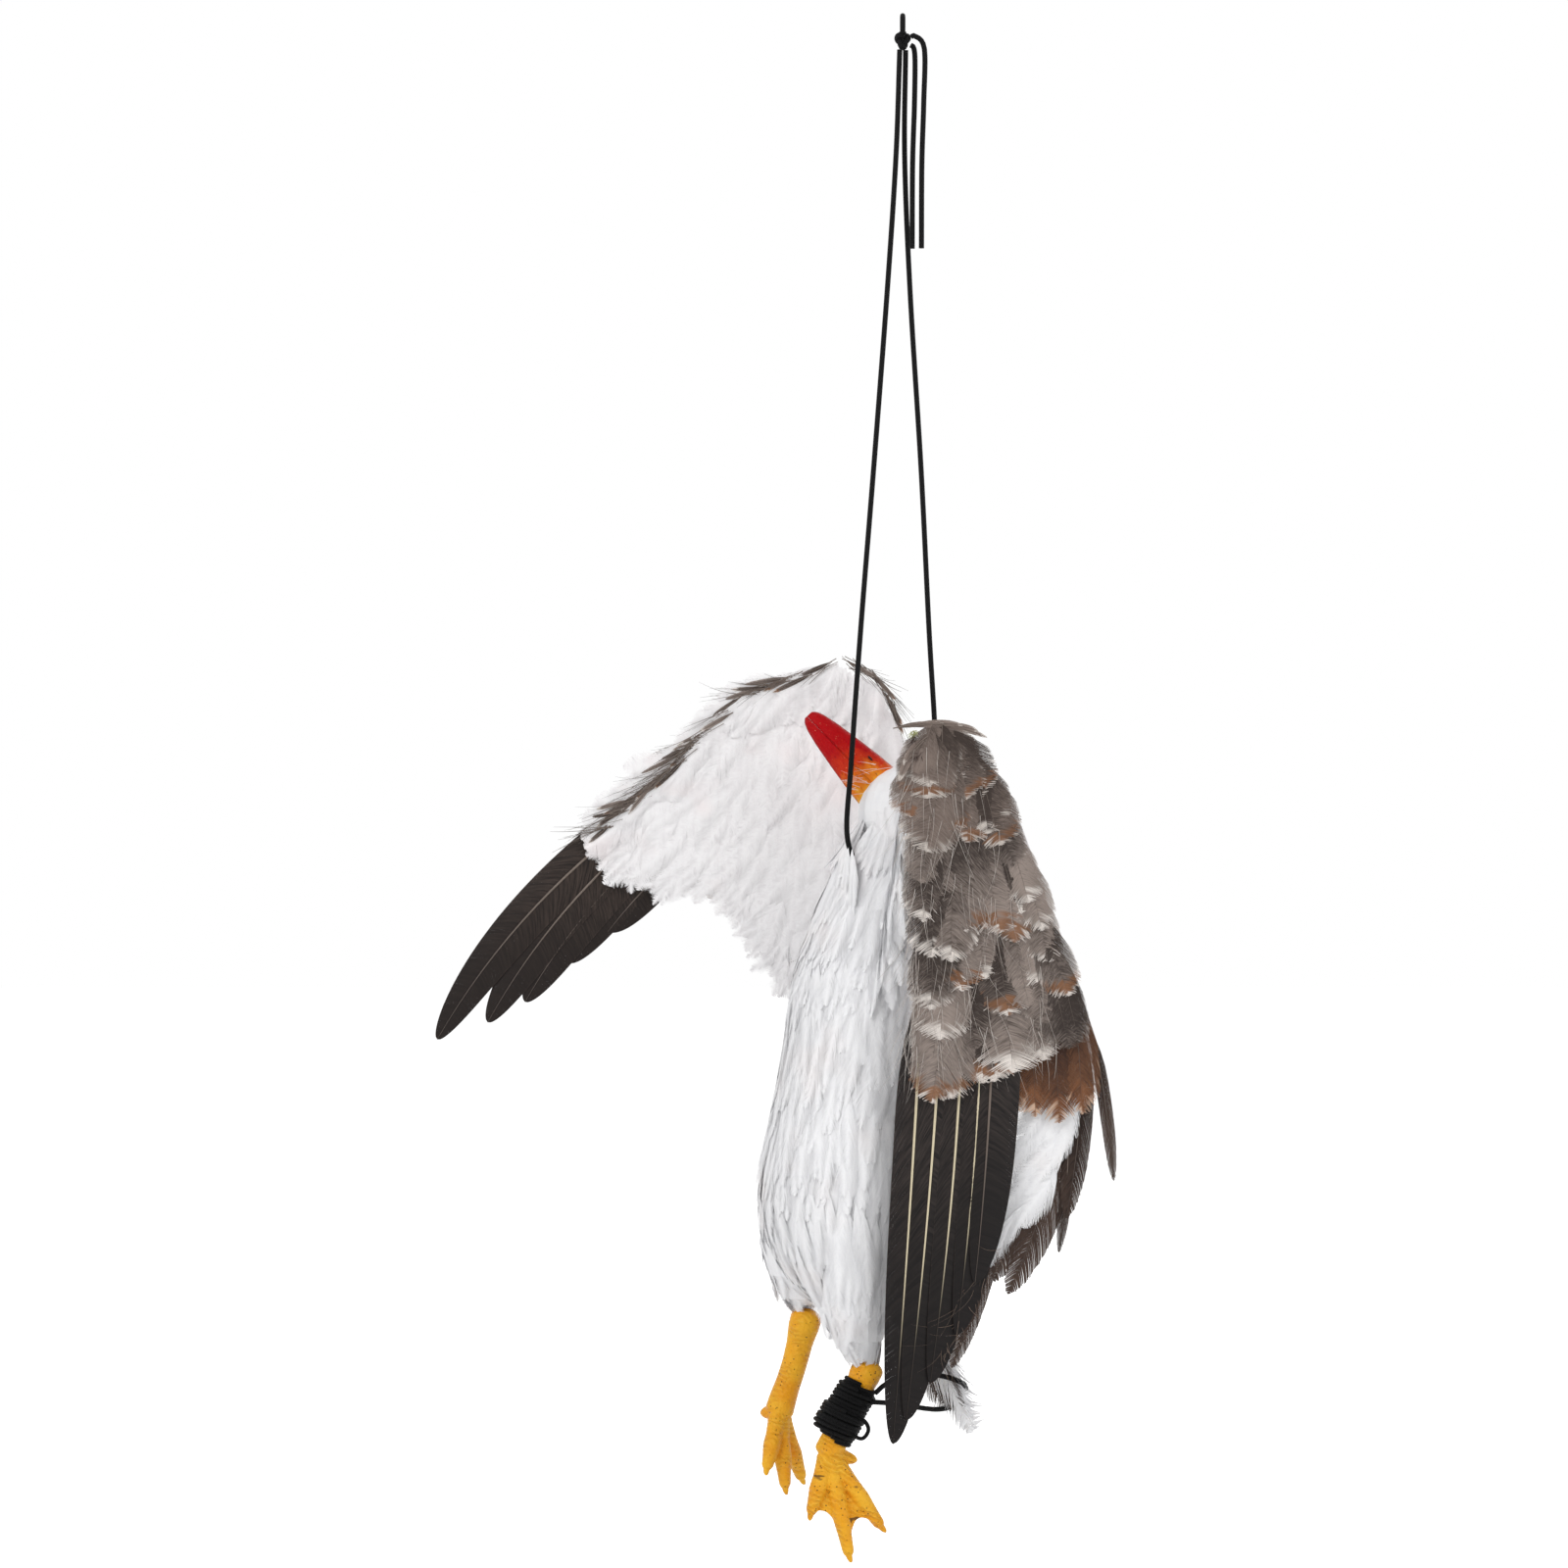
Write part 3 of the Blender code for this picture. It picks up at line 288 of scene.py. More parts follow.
def white_plumage(name, colour, shade, blush):
    paint = Paint(name, 0.75, 0.12)
    _, along, feather, barb = vane_facts(paint)
    streak = barb_streaks(paint, along, feather, barb)
    x, y, z = paint.parts(paint.place())
    down = paint.noise(paint.vector(x, y, paint.times(z, 0.10)), 420.0, 3.0)
    streak = paint.plus(paint.times(streak, 0.55), paint.times(down, 0.45))
    base = paint.mix(paint.step(streak, 0.30, 0.60), shade, colour)
    cloud = paint.noise(paint.place(), 38.0, 2.0)
    base = paint.mix(paint.step(cloud, 0.50, 0.75, 0.0, 0.75), base, blush)
    base = paint.mix(paint.step(feather, 0.85, 1.0, 0.0, 0.4), base, shade)
    return paint.done(base, height=streak, distance=0.00012, strength=0.35)


# A covert's tone also says how its tip ends
PLAIN, RUFOUS, PALE, BROAD = 0.04, 0.30, 0.55, 0.80
TONE_SPREAD = 0.15


def banded_plumage(name, centre, dark, band, fringe):
    """Grey-brown vanes whose tips stay plain, end in a rufous band, or fray into a pale fringe, with painted
    shading: darker towards each vane's root, where the feathers above shade it, and a little lighter towards
    its edges.
    """
    paint = Paint(name, 0.60, 0.14)
    edge, along, feather, barb = vane_facts(paint)
    streak = barb_streaks(paint, along, feather, barb)
    chance = paint.sum("FRACT", paint.times(feather, 53.0))
    cloud = paint.noise(paint.place(), 32.0, 2.0)
    light = paint.plus(paint.times(streak, 0.9), paint.times(cloud, 0.6))
    # Painted shade: each vane darkens towards its root, under the feathers above it, and lightens a little
    # towards its edges
    light = paint.plus(light, paint.times(along, 0.45))
    light = paint.plus(light, paint.times(edge, 0.20))
    light = paint.minus(light, paint.times(chance, 0.50))
    base = paint.mix(paint.step(light, 0.52, 1.22), dark, centre)
    fray = paint.times(paint.minus(barb, 0.5), 0.16)
    reach = paint.plus(paint.plus(along, fray), paint.times(paint.sum("POWER", edge, 3.0), 0.07))
    rufous = paint.times(paint.step(feather, 0.24, 0.27), paint.step(feather, 0.52, 0.49))
    pale = paint.step(feather, 0.49, 0.52)
    broad = paint.step(feather, 0.74, 0.77)
    base = paint.mix(paint.times(rufous, paint.step(reach, 0.80, 0.89, 0.0, 0.85)), base, band)
    base = paint.mix(paint.times(rufous, paint.step(reach, 0.925, 0.985, 0.0, 0.9)), base, fringe)
    base = paint.mix(paint.times(pale, paint.step(reach, 0.84, 0.96, 0.0, 0.9)), base, fringe)
    base = paint.mix(paint.times(broad, paint.step(reach, 0.78, 0.96, 0.0, 0.75)), base, fringe)
    rim = paint.times(paint.step(edge, 0.72, 1.0), paint.step(barb, 0.45, 0.95, 0.0, 0.85))
    rim = paint.times(rim, paint.step(along, 0.25, 0.7, 0.25, 1.0))
    base = paint.mix(rim, base, fringe)
    return paint.done(base, height=streak, distance=0.00020, strength=0.6)


def flight_plumage(name, front, deep, edge_colour):
    paint = Paint(name, 0.50, 0.16)
    edge, along, feather, barb = vane_facts(paint)
    streak = barb_streaks(paint, along, feather, barb)
    base = paint.mix(paint.step(streak, 0.25, 0.75), deep, front)
    base = paint.mix(paint.step(along, 0.30, 0.80, 0.0, 0.85), base, deep)
    wander = paint.times(paint.minus(streak, 0.5), 0.12)
    base = paint.mix(paint.step(paint.plus(edge, wander), 0.94, 1.0, 0.0, 0.4), base, edge_colour)
    return paint.done(base, height=streak, distance=0.00015)


def shaft_paint(name, root, tip, fade_from, fade_to):
    paint = Paint(name, 0.3)
    along = paint.uv("Vane")[1]
    grain = paint.noise(paint.vector(paint.times(along, 80.0), 0.0), 2.0)
    base = paint.mix(paint.step(grain, 0.3, 0.7, 0.0, 0.25), root, tuple(value * 0.75 for value in root))
    base = paint.mix(paint.step(along, fade_from, fade_to), base, tip)
    return paint.done(base, height=grain, distance=0.0001)


def cord_paint():
    """Eight plaits of black polyester, crossing round the cord."""
    paint = Paint("cord_braid", 0.6, 0.12)
    around, along = paint.uv("Vane")[:2]
    turn = paint.times(around, 8 * pi)
    run = paint.times(along, 2 * pi)
    right = paint.sum("SINE", paint.plus(turn, run))
    left = paint.sum("SINE", paint.minus(turn, run))
    plait = paint.sum("ABSOLUTE", paint.times(right, left))
    fibre = paint.noise(paint.vector(paint.times(around, 60.0), paint.times(along, 6.0)), 2.0)
    height = paint.plus(paint.times(plait, 0.8), paint.times(fibre, 0.2))
    # Painted shade: the plaits' hollows are coloured darker than their crowns
    base = paint.mix(paint.step(height, 0.15, 0.95), (0.002, 0.002, 0.002), (0.014, 0.014, 0.015))
    return paint.done(base, paint.step(fibre, 0.2, 0.8, 0.45, 0.7), height, 0.0005, 0.9)


def plain_paint(name, light, dark, scale, roughness, metallic=0.0, distance=0.0003):
    """A matt or metal stock with its own grain: foam cells, felt hairs or drawn wire."""
    paint = Paint(name, roughness, 0.3, metallic)
    fine = paint.noise(paint.place(), scale, 4.0)
    broad = paint.noise(paint.place(), scale / 12.0, 2.0)
    both = paint.plus(paint.times(fine, 0.6), paint.times(broad, 0.4))
    base = paint.mix(paint.step(both, 0.3, 0.7), dark, light)
    gloss = paint.step(fine, 0.3, 0.7, roughness - 0.08, min(1.0, roughness + 0.08))
    return paint.done(base, gloss, fine, distance)


WHITE = white_plumage("white_plumage", (0.92, 0.92, 0.93), (0.86, 0.86, 0.88), (0.92, 0.89, 0.89))
LINING = white_plumage("lining_plumage", (0.92, 0.91, 0.915), (0.84, 0.82, 0.83), (0.92, 0.86, 0.86))
# Each banded paint's second colour is both the vanes' own darker tone and the painted shade at their roots
COVERT = banded_plumage("covert_plumage", (0.31, 0.255, 0.225), (0.040, 0.030, 0.026), (0.25, 0.115, 0.055),
                        (0.80, 0.74, 0.69))
SHOULDER = banded_plumage("shoulder_plumage", (0.23, 0.18, 0.155), (0.045, 0.033, 0.028),
                          (0.22, 0.105, 0.055), (0.66, 0.60, 0.55))
TERTIAL = banded_plumage("tertial_plumage", (0.155, 0.070, 0.036), (0.050, 0.024, 0.016), (0.20, 0.085, 0.04),
                         (0.62, 0.42, 0.30))
FLIGHT = flight_plumage("flight_plumage", (0.040, 0.031, 0.028), (0.0055, 0.0042, 0.0042),
                        (0.045, 0.034, 0.030))
FAR_FLIGHT = flight_plumage("far_flight_plumage", (0.050, 0.036, 0.030), (0.011, 0.0075, 0.0065),
                            (0.055, 0.040, 0.034))
DARK_TAIL = banded_plumage("tail_plumage", (0.065, 0.042, 0.033), (0.016, 0.010, 0.008), (0.08, 0.045, 0.03),
                           (0.11, 0.085, 0.075))
THREAD = plain_paint("loose_barbs", (0.66, 0.61, 0.57), (0.34, 0.29, 0.26), 300.0, 0.7)
OLIVE = plain_paint("olive_barbs", (0.36, 0.38, 0.14), (0.16, 0.17, 0.06), 300.0, 0.7)
DARK_HOLLOW = plain_paint("dark_hollow", (0.030, 0.010, 0.008), (0.008, 0.004, 0.004), 3000.0, 0.7)
FIBRE = plain_paint("frayed_fibres", (0.30, 0.22, 0.17), (0.10, 0.07, 0.055), 300.0, 0.7)
CREAM_SHAFT = shaft_paint("cream_shaft", (0.72, 0.63, 0.44), (0.04, 0.032, 0.028), 0.58, 0.84)
DARK_SHAFT = shaft_paint("dark_shaft", (0.20, 0.16, 0.135), (0.10, 0.08, 0.07), 0.3, 0.9)
PALE_SHAFT = shaft_paint("pale_shaft", (0.80, 0.78, 0.74), (0.70, 0.67, 0.62), 0.4, 0.9)
CORD = cord_paint()
FOAM = plain_paint("cut_foam", (0.84, 0.82, 0.78), (0.66, 0.64, 0.60), 900.0, 0.9)
FELT = plain_paint("wool_felt", (0.88, 0.86, 0.86), (0.74, 0.72, 0.72), 1500.0, 0.95)
WIRE = plain_paint("drawn_wire", (0.55, 0.55, 0.56), (0.30, 0.30, 0.31), 2500.0, 0.35, 1.0, 0.00005)


# Meshes
def unit(vector):
    vector = np.asarray(vector, dtype=float)
    return vector / np.linalg.norm(vector)


class Coat:
    """One piece's mesh while it grows: points, faces, and for each point its vane and tone."""

    def __init__(self):
        self.points = []
        self.vane = []
        self.tone = []
        self.faces = []
        self.slots = []
        self.count = 0

    def add(self, points, faces, vane, tone, slot=0):
        points = np.asarray(points).reshape(-1, 3)
        self.points.append(points)
        self.vane.append(np.asarray(vane).reshape(-1, 2))
        self.tone.append(np.broadcast_to(np.asarray(tone), (len(points), 2)))
        self.faces.append(np.asarray(faces) + self.count)
        self.slots.append(slot)
        self.count += len(points)

    def skin(self, *nodes):
        """The CAD solids' own surface, under the feathers."""
        for name in nodes:
            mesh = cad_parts[name].data
            mesh.calc_loop_triangles()
            points = np.array([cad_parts[name].matrix_world @ vert.co for vert in mesh.vertices])
            faces = np.array([triangle.vertices for triangle in mesh.loop_triangles])
            self.add(points, faces, np.full((len(points), 2), 0.5), (0.5, 0.5))

    def make(self, name, body, nodes, slot, paints):
        points = np.concatenate(self.points)
        vane = np.concatenate(self.vane)
        tone = np.concatenate(self.tone)
        loops = np.concatenate([faces.ravel() for faces in self.faces]).astype(np.int32)
        sizes = [np.full(len(faces), faces.shape[1]) for faces in self.faces]
        totals = np.concatenate(sizes).astype(np.int32)
        slots = np.concatenate([np.full(len(faces), number) for faces, number in zip(self.faces, self.slots)])
        mesh = bpy.data.meshes.new(name)
        mesh.vertices.add(len(points))
        mesh.vertices.foreach_set("co", points.ravel())
        mesh.loops.add(len(loops))
        mesh.loops.foreach_set("vertex_index", loops)
        mesh.polygons.add(len(totals))
        mesh.polygons.foreach_set("loop_start", (np.cumsum(totals) - totals).astype(np.int32))
        mesh.polygons.foreach_set("material_index", slots.astype(np.int32))
        mesh.polygons.foreach_set("use_smooth", np.ones(len(totals), dtype=bool))
        mesh.update(calc_edges=True)
        for layer, values in (("Vane", vane), ("Tone", tone)):
            made = mesh.uv_layers.new(name=layer)
            made.data.foreach_set("uv", values[loops].ravel())
        for paint in paints:
            mesh.materials.append(paint)
        mesh.validate()
        return settle(bpy.data.objects.new(name, mesh), body, nodes)


def settle(piece, body, nodes):
    """Puts a finished piece in the scene, on its body and in its nodes' place."""
    if not piece.users_collection:
        bpy.context.scene.collection.objects.link(piece)
    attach(piece, body)
    if nodes:
        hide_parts(*nodes)
    return piece


def smooth_route(chosen, step):
    """Points about one step apart on a Catmull-Rom curve through the chosen points."""
    route = []
    padded = [chosen[0] * 2 - chosen[1], *chosen, chosen[-1] * 2 - chosen[-2]]
    for index in range(1, len(padded) - 2):
        p0, p1, p2, p3 = padded[index - 1:index + 3]
        count = max(1, round((p2 - p1).length / step))
        for part in range(count):
            t = part / count
            route.append(0.5 * (2 * p1 + (p2 - p0) * t + (2 * p0 - 5 * p1 + 4 * p2 - p3) * t ** 2
                                + (3 * p1 - p0 - 3 * p2 + p3) * t ** 3))
    route.append(chosen[-1].copy())
    return route


def sweep(points, radii, sides, closed=False):
    """A round tube along points: its corners, faces and unrolled coordinates."""
    points = np.array([tuple(point) for point in points])
    count = len(points)
    if closed:
        runs = np.roll(points, -1, axis=0) - np.roll(points, 1, axis=0)
    else:
        runs = np.gradient(points, axis=0)
    runs /= np.linalg.norm(runs, axis=1)[:, None]
    side = unit(np.cross(runs[0], (0.31, 0.87, 0.38)))
    gaps = np.linalg.norm(np.diff(points, axis=0), axis=1)
    along = np.concatenate(([0.0], np.cumsum(gaps)))
    turns = np.arange(sides + 1) * 2 * pi / sides
    corners = []
    radii = np.broadcast_to(np.asarray(radii, dtype=float), (count,))
    for index in range(count):
        side = unit(side - runs[index] * side.dot(runs[index]))
        up = np.cross(runs[index], side)
        ring = np.cos(turns)[:, None] * side + np.sin(turns)[:, None] * up
        corners.append(points[index] + ring * radii[index])
    width = sides + 1
    faces = []
    for index in range(count if closed else count - 1):
        start = index * width
        after = ((index + 1) % count) * width
        for turn in range(sides):
            faces.append((start + turn, start + turn + 1, after + turn + 1, after + turn))
    vane = np.stack(np.broadcast_arrays(turns[None, :] / (2 * pi), along[:, None]), axis=-1)
    return np.concatenate(corners), np.array(faces), vane.reshape(-1, 2)


def add_tube(coat, points, radii, sides=12, closed=False, scale=1.0):
    """A tube along points, with a flat cap on each open end."""
    corners, faces, vane = sweep(points, radii, sides, closed)
    vane[:, 1] *= scale
    coat.add(corners, faces, vane, (0.5, 0.5))
    if closed:
        return
    for end, order in ((0, -1), (len(corners) - sides - 1, 1)):
        ring = corners[end:end + sides]
        middle = ring.mean(axis=0)
        fan = [(sides, index, (index + 1) % sides)[::order] for index in range(sides)]
        cap_vane = np.tile(vane[end], (sides + 1, 1))
        coat.add(np.vstack((ring, middle)), np.array(fan), cap_vane, (0.5, 0.5))


def ring_faces(rows, sides):
    """Quads between neighbouring rings of sides + 1 corners each."""
    width = sides + 1
    faces = []
    for row in range(rows - 1):
        for turn in range(sides):
            start = row * width + turn
            faces.append((start, start + 1, start + width + 1, start + width))
    return np.array(faces)


def loft(coat, rows, sides):
    """A form through rows of (middle, half width, half depth, share along)."""
    turns = np.arange(sides + 1) * 2 * pi / sides
    corners, vane = [], []
    for middle, across, deep, share in rows:
        ring = np.array(middle) + np.cos(turns)[:, None] * np.array(across)
        corners.append(ring + np.sin(turns)[:, None] * np.array(deep))
        vane.append(np.stack((turns / (2 * pi), np.full(len(turns), share)), axis=-1))
    coat.add(np.concatenate(corners), ring_faces(len(rows), sides), np.concatenate(vane), (0.5, 0.5))


def add_hair(coat, start, heading, curl, length, radius, slot=0):
    """One loose barb: a tapered thread that bends evenly towards curl."""
    share = np.linspace(0.0, 1.0, 9)
    bent = unit(heading)[None, :] * share[:, None] + np.asarray(curl)[None, :] * share[:, None] ** 2
    corners, faces, vane = sweep(np.asarray(start) + bent * length, radius * (1.0 - 0.8 * share), 3)
    vane[:, 1] /= length
    coat.add(corners, faces, vane, (0.5, 0.5), slot)


def route_length(points):
    return sum((b - a).length for a, b in zip(points, points[1:]))


# Cords
def make_cord(name, points, diameter, body, node, closed=False):
    coat = Coat()
    add_tube(coat, points, diameter / 2, 16, closed, BRAID_PITCH / diameter)
    return coat.make(name, body, [node], "cord_black", [CORD])


def on_ring(angle, height=0.0):
    return NOOSE_CENTRE + Vector((NOOSE_RADIUS * cos(angle), NOOSE_RADIUS * sin(angle), height))


def free_cord(name, chosen, diameter, body, node):
    route = smooth_route(chosen, ROUTE_STEP)
    cord = make_cord(name, route, diameter, body, node)


def make_cords():
    knot_foot = KNOT_Z - KNOT_RADIUS - GAP
    seat = (CORD_D + GAP) / 2 + CORD_D / 4
    front = [Vector((-0.0014, -0.0008, knot_foot)), Vector((-0.0032, -0.0022, -0.065)),
             Vector((-0.0074, -0.0052, -0.129)), Vector((-0.0138, -0.0090, -0.212)),
             Vector((-0.0198, -0.0127, -0.286)), Vector((-0.0244, -0.0158, -0.350)),
             Vector((-0.0262, -0.0170, -0.384)), on_ring(radians(225), seat)]
    rear = [Vector((0.0014, 0.0008, knot_foot)), Vector((0.0010, 0.0028, -0.065)),
            Vector((0.0037, 0.0064, -0.129)), Vector((0.0090, 0.0118, -0.212)),
            Vector((0.0128, 0.0166, -0.286)), Vector((0.0156, 0.0195, -0.332)),
            Vector((0.0172, 0.0218, -0.372)), on_ring(radians(50), seat)]
    free_cord("front_cord", front, CORD_D, "hang_cord", "front_strand")
    free_cord("rear_cord", rear, CORD_D, "hang_cord", "rear_strand")
    ring = [on_ring(2 * pi * step / 96) for step in range(96)]
    make_cord("noose", ring, CORD_D, "hang_cord", "neck_noose", closed=True)
    make_tails()
    make_loop()
    make_knot()


def make_tails():
    """Two loose ends with heat-sealed tips."""
    middle = Vector((0.0, 0.0, KNOT_Z))
    reach = 0.098
    tails = (("cord_tail_outer", Vector((0.88, -0.33, 0.34)), 0.0101, 0.0040, 0.104),
             ("cord_tail_inner", Vector((0.84, 0.30, -0.45)), 0.0058, 0.0085, 0.097))
    for name, leave, side, sag, length in tails:
        leave = leave.normalized()
        start = middle + leave * (KNOT_RADIUS + GAP * 1.5)
        depth = start.y * 0.5
        chosen = [start, start + leave * CORD_D * 0.5, Vector((side, start.y, middle.z - sag)),
                  Vector((side - 0.0003, depth - 0.0020, middle.z - 0.030)),
                  Vector((side - 0.0012, depth - 0.0032, middle.z - reach * 0.6)),
                  Vector((side - 0.0014, depth - 0.0034, middle.z - reach))]
        free_cord(name + "_cord", chosen, CORD_D, "hang_cord", name)


def make_loop():
    half = LOOP_WIDTH / 2 - CORD_D / 2
    top = CORD_D / 2
    foot = KNOT_Z + KNOT_RADIUS - 0.001
    arc = [Vector((0.0, half * cos(turn), top - half + half * sin(turn)))
           for turn in [pi * step / 24 for step in range(25)]]
    route = smooth_route([Vector((0.0, 0.0018, foot)), *arc, Vector((0.0, -0.0018, foot))], 0.0005)
    make_cord("hanging_bight", route, CORD_D, "hang_cord", "hang_loop")


def make_knot():
    """An overhand knot pulled tight: a trefoil of cord round the two strands."""
    coat = Coat()
    size = 0.00098
    route = []
    for step in range(160):
        t = 2 * pi * step / 160
        x = (sin(t) + 2 * sin(2 * t)) * size
        z = (cos(t) - 2 * cos(2 * t)) * size * 1.15
        y = -sin(3 * t) * size * 1.5
        route.append(Vector((x, y, KNOT_Z + z)))
    add_tube(coat, route, CORD_D / 2, 14, True, BRAID_PITCH / CORD_D)
    core = [Vector((0.0, 0.0, KNOT_Z - 0.0040)), Vector((0.0, 0.0, KNOT_Z + 0.0040))]
    add_tube(coat, core, CORD_D * 0.7, 12, False, BRAID_PITCH / CORD_D)
    coat.make("tight_knot", "hang_cord", ["loop_knot"], "cord_black", [CORD])


make_cords()


# Feathers
VANE_STEPS = np.linspace(0.0, 1.0, 33)
BODY_FEATHER = dict(barbs=30, steps=3, start=0.03, sweep=0.58, loose=0.62, ragged=0.40, lift=0.004,
                    peak=0.45, blunt=1.5, camber=0.11, shaft=0.0, stray=0.018)
SHAGGY_FEATHER = dict(barbs=26, steps=4, start=0.03, sweep=0.62, loose=0.90, ragged=0.40, lift=0.035,
                      peak=0.55, blunt=1.8, camber=0.15, shaft=0.0, stray=0.040)
COVERT_FEATHER = dict(barbs=96, steps=5, start=0.04, sweep=0.54, loose=0.80, ragged=0.70, lift=0.018,
                      peak=0.60, blunt=5.0, camber=0.16, shaft=0.00018, stray=0.030, side=0.14, fan=1.0)
SOFT_FEATHER = dict(barbs=34, steps=3, start=0.03, sweep=0.46, loose=0.55, ragged=0.25, lift=0.008,
                    peak=0.55, blunt=2.0, camber=0.05, shaft=0.0, stray=0.020)
FLIGHT_FEATHER = dict(barbs=170, steps=4, start=0.02, sweep=0.12, loose=0.0, ragged=0.0, lift=0.0004,
                      peak=0.30, blunt=3.0, camber=0.08, shaft=0.00085, stray=0.0)
DARK_FEATHER = dict(barbs=80, steps=4, start=0.03, sweep=0.30, loose=0.30, ragged=0.20, lift=0.004,
                    peak=0.50, blunt=3.0, camber=0.14, shaft=0.00030, stray=0.010, side=0.10, fan=0.6)


def profile(t, peak, blunt):
    """A vane's half width at t, as a share of its widest: rising to the peak, then closing at the tip."""
    rise = np.sin(np.clip(t / peak, 0.0, 1.0) * pi / 2) ** 0.7
    fall = np.clip(1.0 - (np.clip(t - peak, 0.0, 1.0) / (1.0 - peak)) ** blunt, 0.0, 1.0) ** 0.55
    return rise * fall


def add_feather(coat, root, along, facing, length, width, style, bend=0.0, arch=0.0, narrow=1.0, tone=None):
    """One feather: strips for the barbs on both sides of a tapered shaft.

    bend turns the shaft towards its side and arch away from its face, both in radians by the tip.
    narrow is the left vane's width as a share of the right one's."""
    along = unit(along)
    facing = unit(np.asarray(facing) - along * np.dot(facing, along))
    side = np.cross(facing, along)
    turn = bend * VANE_STEPS
    drop = arch * VANE_STEPS
    heading = (np.cos(turn) * np.cos(drop))[:, None] * along + np.sin(turn)[:, None] * side
    heading = heading - np.sin(drop)[:, None] * facing
    shaft = np.asarray(root) + np.cumsum(heading, axis=0) * length / len(VANE_STEPS)

    barbs, steps = style["barbs"], style["steps"]
    edges = style["start"] + (1.0 - style["start"]) * np.linspace(0.0, 1.0, barbs + 1)
    starts = np.stack((edges[:-1], edges[1:]), axis=1)[None, :, :, None]
    groups = np.cumsum(rng.random((2, barbs)) < 0.12, axis=1)
    group_shift = rng.normal(0.0, 1.0, (2, barbs + 1))
    stray = np.take_along_axis(group_shift, groups, axis=1) * style["stray"] * 0.6
    stray = (stray + rng.normal(0.0, style["stray"] * 0.4, (2, barbs)))[:, :, None, None]
    rise = np.take_along_axis(rng.normal(0.0, 1.0, (2, barbs + 1)), groups, axis=1) * style["lift"]
    rise = (rise + rng.normal(0.0, style["lift"] * 0.6, (2, barbs)))[:, :, None, None]
    fray = style.get("side", 1.0)
    fray = (fray + (1.0 - fray) * edges[:-1] ** 4)[None, :, None, None]
    stray = stray * fray
    rise = rise * fray
    short = 1.0 - style["ragged"] * fray * rng.random((2, barbs))[:, :, None, None] ** 1.5
    x = np.linspace(0.0, 1.0, steps + 1)[None, None, None, :] * short

    steep = (0.85 - style["sweep"]) * style.get("fan", 0.0) * starts ** 3
    ends = starts + (style["sweep"] + steep) * (1.0 - starts)
    t = starts + (ends - starts + stray * (1.0 - starts) ** 0.3) * x ** 1.2
    half = width / 2 * profile(ends, style["peak"], style["blunt"])
    reach = half * x ** 0.92
    middle_t = t.mean(axis=2, keepdims=True)
    middle_reach = reach.mean(axis=2, keepdims=True)
    closing = 1.0 - style["loose"] * fray * np.linspace(0.0, 1.0, steps + 1)[None, None, None, :] ** 1.6
    t = np.clip(middle_t + (t - middle_t) * closing, 0.0, 1.0)
    reach = middle_reach + (reach - middle_reach) * closing
    t, reach, x, rise = np.broadcast_arrays(t, reach, x, rise)

    sign = np.array([-narrow, 1.0])[:, None, None, None]
    turn = bend * t
    drop = arch * t
    out = np.cos(turn)[..., None] * side - np.sin(turn)[..., None] * along
    up = np.cos(drop)[..., None] * facing + np.sin(drop)[..., None] * along
    spot = np.stack([np.interp(t, VANE_STEPS, shaft[:, axis]) for axis in range(3)], axis=-1)
    proud = rise * length * x ** 1.5 - style["camber"] * reach * (reach / (width / 2))
    points = spot + out * (reach * sign)[..., None] + up * proud[..., None]

    tone = rng.random() if tone is None else tone
    raw = rng.random((2, barbs + 4))
    clumps = 0.5 + 1.7 * (sum(raw[:, step:step + barbs] for step in range(5)) / 5 - 0.5)
    barb_tone = np.broadcast_to(np.clip(clumps, 0.0, 1.0)[:, :, None, None], t.shape)
    vane = np.stack((0.5 + 0.5 * x * np.sign(sign), t), axis=-1)
    tones = np.stack((np.full(t.shape, tone), barb_tone), axis=-1)
    index = np.arange(t.size).reshape(t.shape)
    near, far = index[:, :, 0], index[:, :, 1]
    quads = np.stack((near[..., :-1], far[..., :-1], far[..., 1:], near[..., 1:]), axis=-1)
    quads[0] = quads[0][..., ::-1]
    coat.add(points, quads.reshape(-1, 4), vane, tones.reshape(-1, 2))
    if style["shaft"]:
        add_shaft(coat, shaft, facing, length, style["shaft"], tone)


def add_shaft(coat, shaft, facing, length, radius, tone):
    """The quill, in the piece's second material."""
    rows = shaft[::2]
    taper = radius * (1.0 - 0.88 * np.linspace(0.0, 1.0, len(rows)))
    corners, faces, vane = sweep(rows + facing * radius * 0.25, taper, 5)
    vane[:, 1] /= length
    coat.add(corners, faces, vane, (tone, 0.5), 1)


def made_surface(*pieces):
    """A search tree over some objects' meshes."""
    points, faces = [], []
    for piece in pieces:
        start = len(points)
        points += [vert.co.copy() for vert in piece.data.vertices]
        faces += [[start + index for index in face.vertices] for face in piece.data.polygons]
    return BVHTree.FromPolygons(points, faces)


def surface(*nodes):
    """A search tree over the CAD solids' surfaces."""
    return made_surface(*(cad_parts[name] for name in nodes))


def skin_spot(tree, centre, outward):
    """Where a ray from outside meets the solid, and the surface's direction there."""
    place, normal, _, _ = tree.ray_cast(centre + outward * 0.15, -outward)
    if place is None:
        return None, None
    if normal.dot(outward) < 0:
        normal = -normal
    return place, normal


EVEN_STEPS = (-0.014, -0.007, 0.007, 0.014)


def even_spot(tree, centre, outward):
    """A spot on the skin, with the direction it faces evened out over its surroundings."""
    spot, normal = skin_spot(tree, centre, outward)
    if spot is None:
        return spot, normal
    facing = normal.copy()
    for step in EVEN_STEPS:
        _, near = skin_spot(tree, centre + Vector((0.0, 0.0, step)), outward)
        if near is not None:
            facing += near
    return spot, facing.normalized()


LAY_SPREAD = 0.14
LAY_INSET = 0.001


